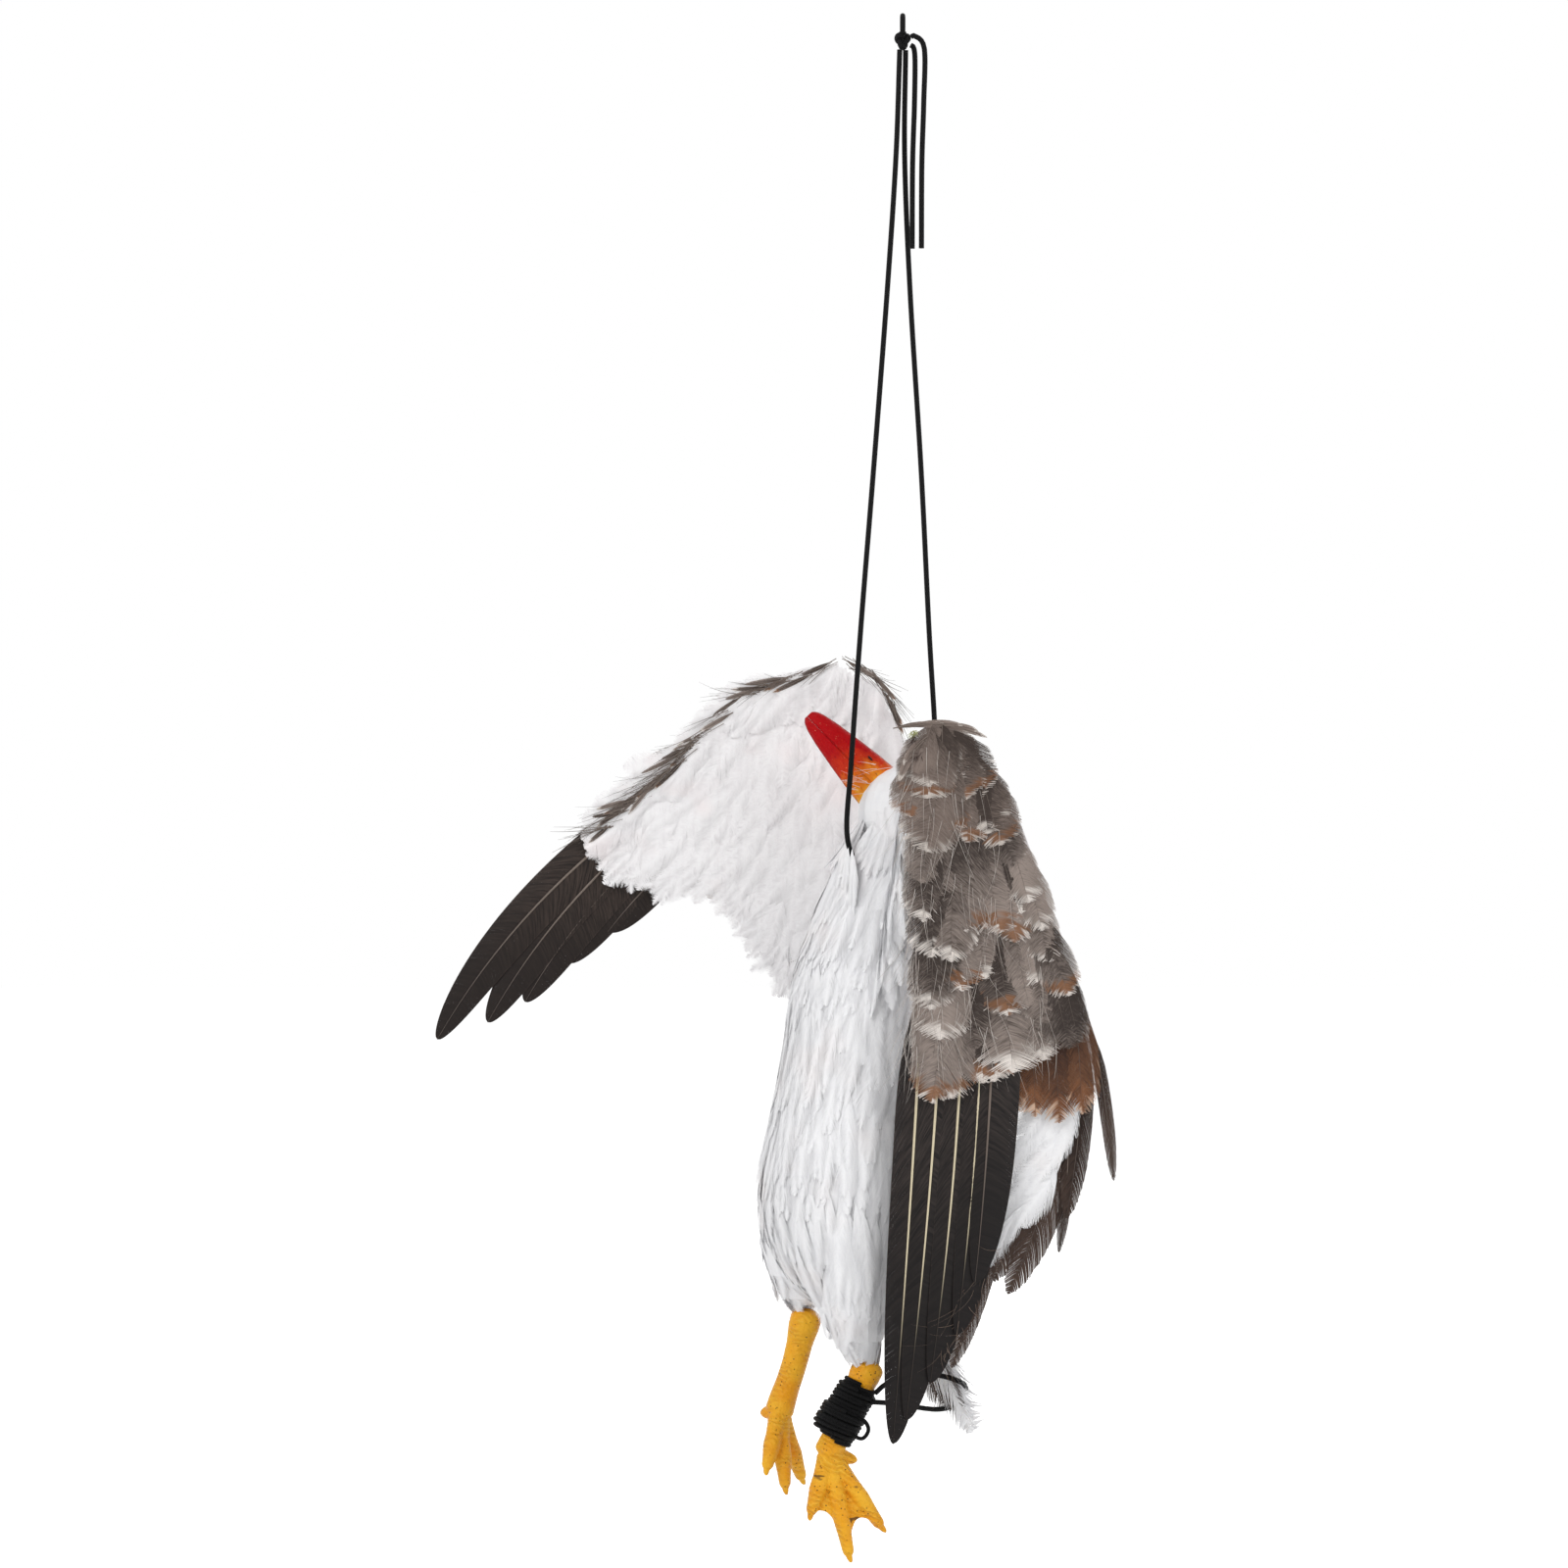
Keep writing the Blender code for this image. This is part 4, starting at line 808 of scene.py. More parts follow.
def lay(coat, place, normal, flow, length, width, style, tilt, arch):
    """One feather on a surface, along the flow, lifted by tilt and arched back."""
    normal = np.array(normal)
    flow = np.asarray(flow, dtype=float)
    flat = unit(flow - normal * flow.dot(normal))
    across = np.cross(normal, flat)
    turn = rng.normal(0.0, LAY_SPREAD)
    flat = flat * cos(turn) + across * sin(turn)
    lift = tilt * (0.8 + 0.4 * rng.random())
    along = flat * cos(lift) + normal * sin(lift)
    size = 0.88 + 0.24 * rng.random()
    add_feather(coat, np.array(place) - normal * LAY_INSET, along, normal, length * size,
                width * (0.9 + 0.2 * rng.random()), style, bend=rng.normal(0.0, 0.12), arch=arch)


def lay_between(coat, root, normal, tip, tip_normal, width, style):
    """One feather over a curved surface, from its quill's spot to its tip's."""
    start = np.array(root) - np.array(normal) * 0.0008
    run = np.array(tip) + np.array(tip_normal) * rng.uniform(0.0003, 0.0009) - start
    length = np.linalg.norm(run)
    run = run / length
    turn = np.array(tip_normal - normal)
    arch = min(0.8, 0.8 * np.linalg.norm(turn)) * (1.0 if turn.dot(run) > 0.0 else -0.2)
    facing = unit(np.array(normal) + np.array(tip_normal))
    along = run * cos(arch / 2) + facing * sin(arch / 2)
    add_feather(coat, start, along, facing, length, width * rng.uniform(0.9, 1.1), style,
                bend=rng.normal(0.0, 0.10), arch=arch)


# Body
def body_axis(z):
    """The body's centre line, leaning back towards the neck."""
    heights = (-0.603, -0.549, -0.490, -0.439, -0.414)
    return np.interp(z, heights, (-0.0240, -0.0280, -0.0240, -0.0140, -0.0075))


SKIN_SINK = 0.0020


def draw_in(coat, depth):
    """Sinks the body's skin below the feathers that bridge its creases."""
    for points in coat.points:
        middle = body_axis(points[:, 2])
        reach = np.stack((points[:, 0] - middle, points[:, 1]), axis=1)
        far = np.maximum(np.linalg.norm(reach, axis=1), 0.004)
        points[:, :2] -= reach / far[:, None] * depth


def dress_body():
    tree = surface("breast_coat", "back_coat", "near_thigh", "far_thigh")
    coats = {"breast": Coat(), "back": Coat()}
    coats["breast"].skin("breast_coat")
    coats["back"].skin("back_coat")
    for coat in coats.values():
        draw_in(coat, SKIN_SINK)
    for row, z in enumerate(np.arange(-0.606, -0.443, 0.0075)):
        probe, _ = skin_spot(tree, Vector((body_axis(z), 0.0, z)), Vector((0.0, -1.0, 0.0)))
        radius = abs(probe.y) if probe else 0.01
        count = max(12, round(2 * pi * radius / 0.0075))
        for index in range(count):
            turn = 2 * pi * (index + 0.5 * (row % 2) + rng.uniform(-0.3, 0.3)) / count
            high = z + rng.uniform(-0.006, 0.006)
            low = high - rng.uniform(0.028, 0.048)
            ends = []
            for height, angle in ((high, turn), (low, turn + rng.normal(0.0, 0.07))):
                centre = Vector((body_axis(height), 0.0, height))
                ends += even_spot(tree, centre, Vector((cos(angle), sin(angle), 0.0)))
            if ends[0] is None:
                continue
            name = "breast" if ends[0].x < COAT_SPLIT_X else "back"
            if ends[2] is None:
                lay(coats[name], ends[0], ends[1], DOWN, 0.020, 0.012, BODY_FEATHER, 0.05, 0.45)
            else:
                lay_between(coats[name], *ends, 0.0115, BODY_FEATHER)
    coats["breast"].make("breast_plumage", "bird", ["breast_coat"], "feather_white", [WHITE, PALE_SHAFT])
    coats["back"].make("back_plumage", "bird", ["back_coat"], "feather_white", [WHITE, PALE_SHAFT])


def dress_thigh(name, node, centre_top, centre_low, z_top, z_low):
    tree = surface(node)
    coat = Coat()
    coat.skin(node)
    for row, z in enumerate(np.arange(z_low - 0.004, z_top, 0.005)):
        for index in range(18):
            turn = 2 * pi * (index + 0.5 * (row % 2) + rng.uniform(-0.3, 0.3)) / 18
            ends = []
            for height, angle in ((z, turn), (z - rng.uniform(0.014, 0.026), turn + rng.normal(0.0, 0.10))):
                centre = Vector(centre_low).lerp(Vector(centre_top), (height - z_low) / (z_top - z_low))
                centre.z = height
                ends += skin_spot(tree, centre, Vector((cos(angle), sin(angle), 0.0)))
            if ends[0] is None:
                continue
            if ends[2] is None:
                lay(coat, ends[0], ends[1], DOWN, rng.uniform(0.012, 0.019), 0.008, BODY_FEATHER, 0.12, 0.20)
            else:
                lay_between(coat, *ends, 0.008, BODY_FEATHER)
    coat.make(name, "bird", [node], "feather_white", [WHITE, PALE_SHAFT])


def beak_axis():
    return Vector((sin(BEAK_TILT), 0.0, cos(BEAK_TILT)))


NECK_HEIGHTS = (-0.470, -0.444, -0.420, -0.404, -0.392, -0.382)


def neck_ring(z):
    """The middle and the half widths of the plumage between the shoulders and the head."""
    middle = np.interp(z, NECK_HEIGHTS, (-0.0200, -0.0170, -0.0125, -0.0085, -0.0060, -0.0015))
    across = np.interp(z, NECK_HEIGHTS, (0.0240, 0.0325, 0.0290, 0.0258, 0.0240, 0.0190))
    deep = np.interp(z, NECK_HEIGHTS, (0.0240, 0.0325, 0.0275, 0.0238, 0.0215, 0.0180))
    return middle, across, deep


def neck_skin(tree, z, turn):
    """The outer one of the neck's down and the body's coat, and the direction it faces."""
    middle, across, deep = neck_ring(z)
    outward = Vector((cos(turn), sin(turn), 0.0))
    centre = Vector((middle, 0.0, z))
    down = Vector((across * cos(turn), deep * sin(turn), 0.0))
    spot, normal = even_spot(tree, centre, outward)
    if spot is not None and (spot - centre).length > down.length:
        return spot, normal
    return centre + down, (outward + Vector((0.0, 0.0, 0.28))).normalized()


def dress_neck():
    """Down and feathers over the noose, from the head onto the shoulders."""
    coat = Coat()
    coat.skin("neck_core")
    rows = []
    for z in np.linspace(NECK_HEIGHTS[0], NECK_HEIGHTS[-1], 14):
        middle, across, deep = neck_ring(z)
        rows.append(((middle, 0.0, z), (across, 0.0, 0.0), (0.0, deep, 0.0), 0.5))
    loft(coat, rows, 32)
    tree = surface("breast_coat", "back_coat")
    for row, z in enumerate(np.arange(-0.446, -0.380, 0.0055)):
        for index in range(28):
            turn = 2 * pi * (index + 0.5 * (row % 2) + rng.uniform(-0.3, 0.3)) / 28
            high = z + rng.uniform(-0.008, 0.005)
            low = high - rng.uniform(0.018, 0.056)
            ends = (*neck_skin(tree, high, turn), *neck_skin(tree, low, turn + rng.normal(0.0, 0.08)))
            lay_between(coat, *ends, 0.012, BODY_FEATHER)
    for _ in range(22):
        side = Vector((0.55, -0.83, 0.0)) * rng.uniform(-0.0045, 0.0045)
        root = Vector((-0.0262, -0.0180, rng.uniform(-0.393, -0.386))) + side
        tip = Vector((-0.0275, -0.0190, rng.uniform(-0.424, -0.410))) + side * 2.0
        outward = Vector((-0.80, -0.58, 0.15)).normalized()
        lay_between(coat, root, outward, tip, outward, 0.0075, BODY_FEATHER)
    coat.make("neck_plumage", "bird", ["neck_core"], "feather_white", [WHITE, PALE_SHAFT])


def dress_wing_root(name, node, swell):
    """White feathers round the bent wire between the body and a wing."""
    points = np.array([vert.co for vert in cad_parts[node].data.vertices])
    levels = np.unique(np.round(points[:, 2], 3))
    rings = np.array([points[np.abs(points[:, 2] - level) < 0.0006].mean(axis=0) for level in levels])
    coat = Coat()
    for z in np.arange(levels[0] - 0.006, levels[-1], 0.0055):
        middle = Vector((np.interp(z, rings[:, 2], rings[:, 0]), np.interp(z, rings[:, 2], rings[:, 1]), z))
        for index in range(8):
            turn = 2 * pi * (index + rng.uniform(-0.3, 0.3)) / 8
            outward = Vector((cos(turn), sin(turn) * 0.5, 0.1))
            lay(coat, middle + outward * swell, outward.normalized(), DOWN, rng.uniform(0.020, 0.032),
                0.010, BODY_FEATHER, 0.0, 0.02)
    coat.make(name, "bird", [], "feather_white", [WHITE, PALE_SHAFT])


def dress_head():
    tree = surface("head")
    coat = Coat()
    coat.skin("head")
    axis = beak_axis()
    side = Vector((0.0, 1.0, 0.0))
    up = axis.cross(side)
    for row, polar in enumerate(np.radians(np.arange(41, 168, 8))):
        count = max(6, round(2 * pi * sin(polar) * HEAD_RADIUS / 0.0050))
        for index in range(count):
            turn = 2 * pi * (index + 0.5 * (row % 2) + rng.uniform(-0.2, 0.2)) / count
            outward = axis * cos(polar) + (side * cos(turn) + up * sin(turn)) * sin(polar)
            place, _ = skin_spot(tree, HEAD_CENTRE, outward)
            if place is None:
                continue
            size = 0.010 if polar < 0.9 else rng.uniform(0.018, 0.028)
            flow = Vector((0.0, 0.0, -1.0)) * min(1.2, polar * 0.7) - axis
            arch = 0.55 if polar < 1.8 else 0.30
            lay(coat, place, outward, flow, size, size * 0.50, BODY_FEATHER, 0.10, arch)
    for _ in range(60):
        turn = radians(rng.uniform(140, 350))
        outward = Vector((cos(turn), sin(turn), -0.35)).normalized()
        root = HEAD_CENTRE + outward * HEAD_RADIUS + Vector((0.0, 0.0, rng.uniform(-0.003, 0.007)))
        middle, across, deep = neck_ring(rng.uniform(-0.408, -0.396))
        tip = Vector((middle + across * cos(turn), deep * sin(turn), rng.uniform(-0.410, -0.397)))
        tip_facing = Vector((cos(turn), sin(turn), 0.2)).normalized()
        lay_between(coat, root, outward, tip, tip_facing, 0.009, BODY_FEATHER)
    for _ in range(16):
        start = HEAD_CENTRE + axis * rng.uniform(0.017, 0.026)
        start = start + Vector((0.0, -rng.uniform(0.0078, 0.0095), 0.0))
        start = start + axis.cross(side) * rng.uniform(-0.011, 0.013)
        heading = (-1.0, rng.uniform(-0.10, 0.05), rng.uniform(-0.25, 0.55))
        curl = (rng.uniform(-0.1, 0.3), 0.05, rng.uniform(-0.4, 0.3))
        add_hair(coat, start, heading, curl, rng.uniform(0.008, 0.020), 0.00011)
    coat.make("head_plumage", "head", ["head"], "feather_white", [WHITE, PALE_SHAFT])


dress_body()
dress_thigh("near_thigh_plumage", "near_thigh", (-0.026, -0.020, 0.0), (-0.0225, -0.020, 0.0), -0.554, -0.613)
dress_thigh("far_thigh_plumage", "far_thigh", (-0.050, 0.018, 0.0), (-0.0460, 0.018, 0.0), -0.547, -0.593)
dress_neck()
dress_wing_root("near_wing_root_feathers", "near_wing_wire", 0.005)
dress_wing_root("far_wing_root_feathers", "far_wing_wire", 0.005)
dress_head()


# Wings
class Plane:
    """A wing's own frame: u across the picture, v up, n towards the viewer."""

    def __init__(self, hinge, tilt):
        self.hinge = np.array(hinge)
        self.u = np.array((cos(tilt), sin(tilt), 0.0))
        self.v = np.array((0.0, 0.0, 1.0))
        self.n = np.array((sin(tilt), -cos(tilt), 0.0))

    def spot(self, u, v, n):
        return self.hinge + self.u * u + self.v * v + self.n * n

    def heading(self, degrees):
        """Straight down at 0, towards +u as it grows."""
        turn = radians(degrees)
        return self.u * sin(turn) - self.v * cos(turn)


NEAR = Plane(NEAR_HINGE, NEAR_TILT)
FAR = Plane(FAR_HINGE, 0.0)


def add_row(coat, plane, left, right, count, heading, length, width, style, depth, lift=0.06, arch=0.10,
            bulge=0.0, face=1.0, spread=5.0):
    """A row of feathers from left to right, fanned between two headings."""
    for index in range(count):
        share = (index + 0.5 + rng.uniform(-0.3, 0.3)) / count
        u = left[0] + (right[0] - left[0]) * share
        v = left[1] + (right[1] - left[1]) * share + rng.uniform(-0.002, 0.002)
        size = np.interp(share, (0.0, 0.5, 1.0), length) * rng.uniform(0.92, 1.08)
        degrees = heading[0] + (heading[1] - heading[0]) * share + rng.normal(0.0, spread)
        crown = bulge * (1.0 - (2 * share - 1.0) ** 2)
        n = depth + (crown + rng.uniform(0.0, 0.0008)) * face
        tilt = lift * rng.uniform(0.8, 1.2)
        along = plane.heading(degrees) * cos(tilt) + plane.n * sin(tilt) * face
        lean = (2 * share - 1.0) * 0.35
        facing = (plane.n * face) * cos(lean) + plane.u * sin(lean)
        add_feather(coat, plane.spot(u, v, n), along, facing, size, width * rng.uniform(0.9, 1.1), style,
                    bend=rng.normal(0.0, 0.06), arch=arch)


# Each covert by its tip (u, v), heading, length, width and kind of tip
SHOULDER_COVERTS = (
    (0.043, -0.033, 22, 0.036, 0.020, PALE), (0.041, -0.043, 12, 0.040, 0.024, RUFOUS),
    (0.037, -0.037, 8, 0.036, 0.022, PALE), (0.026, -0.041, 4, 0.038, 0.024, RUFOUS),
    (0.013, -0.036, 0, 0.036, 0.022, RUFOUS), (0.003, -0.046, -8, 0.044, 0.024, PALE),
    (0.033, -0.020, 34, 0.040, 0.024, RUFOUS), (0.022, -0.022, 16, 0.034, 0.022, RUFOUS),
    (0.013, -0.025, 6, 0.034, 0.020, PLAIN), (0.000, -0.021, -6, 0.034, 0.024, RUFOUS),
    (0.026, -0.009, 44, 0.034, 0.018, PLAIN), (0.019, -0.014, 24, 0.028, 0.016, PALE),
    (0.010, -0.011, 2, 0.026, 0.020, PLAIN), (-0.004, -0.010, -18, 0.026, 0.018, PLAIN),
    (0.020, 0.000, 56, 0.026, 0.012, PLAIN), (0.014, -0.002, 40, 0.022, 0.012, PLAIN))
# Loose feathers over the wing's top, by root, tip, width and bend
STRAY_FEATHERS = (
    ((-0.0135, 0.0110), (0.0110, 0.0135), 0.0024, -0.25), ((0.004, 0.0135), (0.0312, 0.0070), 0.0026, -0.35),
    ((-0.006, 0.0115), (0.020, 0.0125), 0.0036, -0.40), ((0.008, 0.0120), (0.0270, 0.0100), 0.0030, -0.50),
    ((0.002, 0.0060), (-0.0100, -0.0130), 0.0040, 0.50), ((0.004, 0.0080), (-0.0080, -0.0060), 0.0036, 0.60))
UPPER_COVERTS = (
    (0.064, -0.082, 12, 0.044, 0.019, PALE), (0.057, -0.069, 14, 0.042, 0.020, PALE),
    (0.051, -0.087, 8, 0.050, 0.023, RUFOUS), (0.047, -0.075, 8, 0.044, 0.024, PALE),
    (0.036, -0.083, 5, 0.056, 0.027, RUFOUS), (0.024, -0.082, 3, 0.058, 0.029, RUFOUS),
    (0.011, -0.096, -4, 0.060, 0.021, PALE), (0.003, -0.094, -3, 0.058, 0.020, PALE),
    (0.050, -0.052, 16, 0.036, 0.020, PLAIN), (0.010, -0.068, 0, 0.044, 0.024, PLAIN),
    (0.004, -0.066, -3, 0.046, 0.020, PLAIN),
    (0.000, -0.078, -4, 0.046, 0.018, PALE), (-0.002, -0.060, -6, 0.040, 0.018, PLAIN))
MIDDLE_COVERTS = (
    (0.073, -0.113, 11, 0.044, 0.020, RUFOUS), (0.069, -0.096, 12, 0.040, 0.019, PALE),
    (0.063, -0.108, 9, 0.046, 0.020, PALE), (0.052, -0.117, 6, 0.048, 0.024, PLAIN),
    (0.040, -0.121, 3, 0.050, 0.027, RUFOUS), (0.037, -0.107, 4, 0.042, 0.024, RUFOUS),
    (0.027, -0.104, 0, 0.044, 0.025, PALE), (0.014, -0.110, 2, 0.042, 0.022, RUFOUS),
    (0.006, -0.108, -3, 0.044, 0.022, RUFOUS), (0.002, -0.118, -4, 0.046, 0.018, PALE))
LOWER_COVERTS = (
    (0.080, -0.134, 8, 0.050, 0.017, PLAIN), (0.073, -0.137, 7, 0.050, 0.020, PLAIN),
    (0.058, -0.142, 9, 0.052, 0.023, PALE), (0.036, -0.151, 5, 0.054, 0.020, RUFOUS),
    (0.026, -0.152, 3, 0.056, 0.021, RUFOUS), (0.013, -0.159, 0, 0.060, 0.019, RUFOUS),
    (0.005, -0.161, -4, 0.060, 0.019, RUFOUS), (0.004, -0.146, -4, 0.060, 0.020, PLAIN),
    (0.045, -0.147, 6, 0.060, 0.032, BROAD), (0.020, -0.136, 2, 0.050, 0.024, PLAIN),
    (0.008, -0.132, -3, 0.050, 0.022, PALE), (0.066, -0.124, 10, 0.046, 0.022, PLAIN))


def add_coverts(coat, coverts, depth):
    """Chosen coverts, each a little above the last, over the wing's rounded back."""
    for index, (u, v, degrees, length, width, kind) in enumerate(coverts):
        width = width * (1.15 if kind == PLAIN or u > 0.045 else 1.35)
        u = u + 0.003 - 0.006 * max(0.0, u - 0.03) / 0.04
        heading = NEAR.heading(degrees + rng.normal(0.0, 2.0))
        root_u = u - sin(radians(degrees)) * length
        root_v = v + cos(radians(degrees)) * length
        out = (root_u - 0.034) / 0.045
        crown = 0.0045 * max(-0.6, 1.0 - out ** 2)
        tilt = 0.055 + rng.uniform(-0.015, 0.015)
        facing = NEAR.n * cos(out * 0.40) + NEAR.u * sin(out * 0.40)
        add_feather(coat, NEAR.spot(root_u, root_v, depth + crown + index * 0.00012),
                    heading * cos(tilt) + NEAR.n * sin(tilt), facing, length, width, COVERT_FEATHER,
                    bend=rng.normal(0.0, 0.10), arch=0.09, tone=kind + rng.uniform(0.0, TONE_SPREAD))


def narrow_top(coat):
    """Draws the right side of the near wing's top in towards its front edge."""
    for points in coat.points:
        offset = points - NEAR.hinge
        share = np.interp(offset @ NEAR.v, (-0.140, -0.100, -0.060, -0.020), (0.0, 0.05, 0.11, 0.18))
        points -= (np.maximum(offset @ NEAR.u, 0.0) * share)[:, None] * NEAR.u


def make_near_coverts():
    rows = (
        ("near_shoulder", "near_covert_row_1", SHOULDER, SHOULDER_COVERTS, 0.0068, (
            ((-0.002, 0.002), (0.025, -0.002), 7, (-10, 22), (0.030, 0.032, 0.030), 0.0060),
            ((-0.001, 0.008), (0.015, 0.007), 7, (-14, 48), (0.018, 0.022, 0.026), 0.0078))),
        ("near_upper_coverts", "near_covert_row_2", COVERT, UPPER_COVERTS, 0.0054, (
            ((0.004, -0.026), (0.040, -0.030), 8, (-4, 14), (0.042, 0.044, 0.040), 0.0042),)),
        ("near_middle_coverts", "near_covert_row_3", COVERT, MIDDLE_COVERTS, 0.0040, (
            ((0.007, -0.062), (0.053, -0.060), 8, (-3, 10), (0.046, 0.046, 0.044), 0.0032),)),
        ("near_lower_coverts", "near_covert_row_4", COVERT, LOWER_COVERTS, 0.0026, (
            ((0.008, -0.096), (0.060, -0.088), 9, (-3, 7), (0.050, 0.050, 0.048), 0.0016),)),
    )
    pieces = []
    for name, node, paint, coverts, depth, layers in rows:
        coat = Coat()
        for left, right, count, heading, length, low in layers:
            add_row(coat, NEAR, left, right, count, heading, length, 0.022, COVERT_FEATHER, low,
                    bulge=0.0035, lift=0.05, arch=0.08)
        add_coverts(coat, coverts, depth)
        narrow_top(coat)
        if paint is SHOULDER:
            for root, tip, width, bend in STRAY_FEATHERS:
                add_flight(coat, NEAR, root, tip, width, bend, 0.0115, DARK_FEATHER, PALE)
            add_top_marks(coat)
        paints = [paint, DARK_SHAFT, OLIVE, DARK_HOLLOW]
        pieces.append(coat.make(name, "near_arm", [node], "feather_grey", paints))
    make_near_hair(made_surface(*pieces))


def add_top_marks(coat):
    """Olive and dark barbs near the hinge, at the wing's top."""
    for u, v, count, slot in ((-0.0030, 0.0095, 26, 2), (-0.0035, 0.0070, 9, 3), (-0.0012, -0.0015, 9, 3)):
        for _ in range(count):
            start = NEAR.spot(u + rng.normal(0.0, 0.0010), v + rng.normal(0.0, 0.0006), 0.0118)
            heading = NEAR.heading(rng.normal(-30.0, 22.0))
            add_hair(coat, start, heading, -NEAR.n * 0.1, rng.uniform(0.002, 0.005), 0.00016, slot)


def make_near_hair(tree):
    """Loose pale barbs over the coverts, and a fringe of them down the wing's front edge."""
    coat = Coat()
    out = Vector(NEAR.n)
    for _ in range(150):
        u = rng.uniform(-0.004, 0.070)
        v = rng.uniform(-0.140, 0.008)
        place, _, _, _ = tree.ray_cast(Vector(NEAR.spot(u, v, 0.04)), -out)
        if place is None or u > 0.070 - 0.30 * (v + 0.140):
            continue
        heading = NEAR.heading(rng.normal(-4.0 + 240.0 * u, 11.0)) + NEAR.n * 0.06
        curl = NEAR.u * rng.normal(0.0, 0.20) - NEAR.n * 0.04
        add_hair(coat, np.array(place) + NEAR.n * 0.0003, heading, curl, rng.uniform(0.012, 0.034),
                 rng.uniform(0.00007, 0.00016))
    for _ in range(150):
        v = rng.uniform(-0.140, 0.004)
        start = NEAR.spot(rng.uniform(-0.007, 0.003), v, rng.uniform(0.001, 0.009))
        heading = NEAR.heading(rng.normal(-7.0, 9.0)) + NEAR.n * rng.uniform(-0.1, 0.1)
        add_hair(coat, start, heading, NEAR.u * rng.normal(0.05, 0.22), rng.uniform(0.012, 0.030),
                 rng.uniform(0.00008, 0.00017))
    coat.make("near_loose_barbs", "near_arm", [], "feather_grey", [THREAD])
    fibres = Coat()
    for _ in range(70):
        share = rng.uniform(0.0, 1.0)
        u = 0.040 - 0.030 * share + rng.normal(0.0, 0.002)
        start = NEAR.spot(u, -0.225 - 0.055 * share, rng.uniform(-0.003, 0.003))
        heading = NEAR.heading(rng.normal(-18.0, 30.0)) + NEAR.n * rng.uniform(-0.2, 0.3)
        add_hair(fibres, start, heading, NEAR.u * rng.normal(0.0, 0.5) + NEAR.v * rng.normal(0.0, 0.3),
                 rng.uniform(0.008, 0.022), rng.uniform(0.00007, 0.00014))
    fibres.make("near_blade_fibres", "near_hand", [], "feather_brown", [FIBRE])


def add_flight(coat, plane, root, tip, width, bend, depth, style, tone=PLAIN, narrow=1.0):
    """A chosen feather between two spots of a wing's plane."""
    length = np.linalg.norm(np.array(tip) - np.array(root))
    along = leaning(plane, root, tip, bend)
    add_feather(coat, plane.spot(*root, depth), along, plane.n, length, width, style,
                bend=bend, narrow=narrow, tone=tone)


PATCH_OUTLINE = [(0.050, -0.150), (0.081, -0.150), (0.080, -0.172), (0.074, -0.196), (0.061, -0.215),
                 (0.048, -0.231), (0.034, -0.237), (0.038, -0.206), (0.043, -0.187)]
PATCH_ROOTS = [(0.048, -0.118), (0.078, -0.118), (0.077, -0.168), (0.070, -0.190), (0.058, -0.206),
               (0.046, -0.222), (0.040, -0.214), (0.042, -0.190)]


def patch_heading(u, v):
    """Down at its top, and down to the left where it tapers."""
    return np.interp(v, (-0.235, -0.200, -0.150), (-42.0, -34.0, -8.0))


def make_near_tertials():
    coat = Coat()
    for u, v, degrees, length, width in ((0.046, -0.166, 2, 0.074, 0.022), (0.056, -0.168, 3, 0.076, 0.023),
                                         (0.067, -0.171, 3, 0.078, 0.024), (0.078, -0.167, 2, 0.074, 0.020)):
        root = (u - sin(radians(degrees)) * length, v + cos(radians(degrees)) * length)
        add_flight(coat, NEAR, root, (u, v), width, rng.normal(0.0, 0.05), 0.0008 + 0.0004 * (u > 0.06),
                   COVERT_FEATHER, tone=RUFOUS + rng.uniform(0.0, TONE_SPREAD))
    narrow_top(coat)
    coat.make("near_brown_tertials", "near_arm", ["near_tertials"], "feather_brown", [TERTIAL, DARK_SHAFT])
    patch = Coat()
    fill(patch, NEAR, PATCH_OUTLINE, PATCH_ROOTS, 0.0065, patch_heading, 0.030, 0.016, BODY_FEATHER, -0.0060,
         tilt=0.03, arch=0.05)
    for u, v in ((0.036, -0.222), (0.040, -0.226), (0.044, -0.222), (0.038, -0.216)):
        add_flight(patch, NEAR, (u + 0.008, v + 0.014), (u - 0.004, v - 0.012), 0.009, 0.5, -0.0052,
                   SHAGGY_FEATHER)
    narrow_top(patch)
    patch.make("near_white_scapulars", "near_arm", ["near_white_patch"], "feather_white", [WHITE, PALE_SHAFT])
    dark = Coat()
    feathers = (((0.072, -0.120), (0.038, -0.245), 0.018, -0.30, -0.0084),
                ((0.076, -0.120), (0.0445, -0.2515), 0.021, -0.42, -0.0080),
                ((0.079, -0.118), (0.072, -0.216), 0.013, -0.25, -0.0074),
                ((0.073, -0.165), (0.0686, -0.2315), 0.0060, -0.20, -0.0078),
                ((0.082, -0.118), (0.0945, -0.1985), 0.0064, -0.15, -0.0068),
                ((0.048, -0.180), (0.018, -0.284), 0.013, -0.10, -0.0066),
                ((0.046, -0.190), (0.024, -0.268), 0.010, 0.12, -0.0070))
    for root, tip, width, bend, depth in feathers:
        add_flight(dark, NEAR, root, tip, width, bend, depth, DARK_FEATHER, tone=rng.uniform(0.0, 0.2))
    narrow_top(dark)
    dark.make("near_dark_tertials", "near_arm", ["near_dark_tertial"], "feather_brown",
              [DARK_TAIL, DARK_SHAFT])


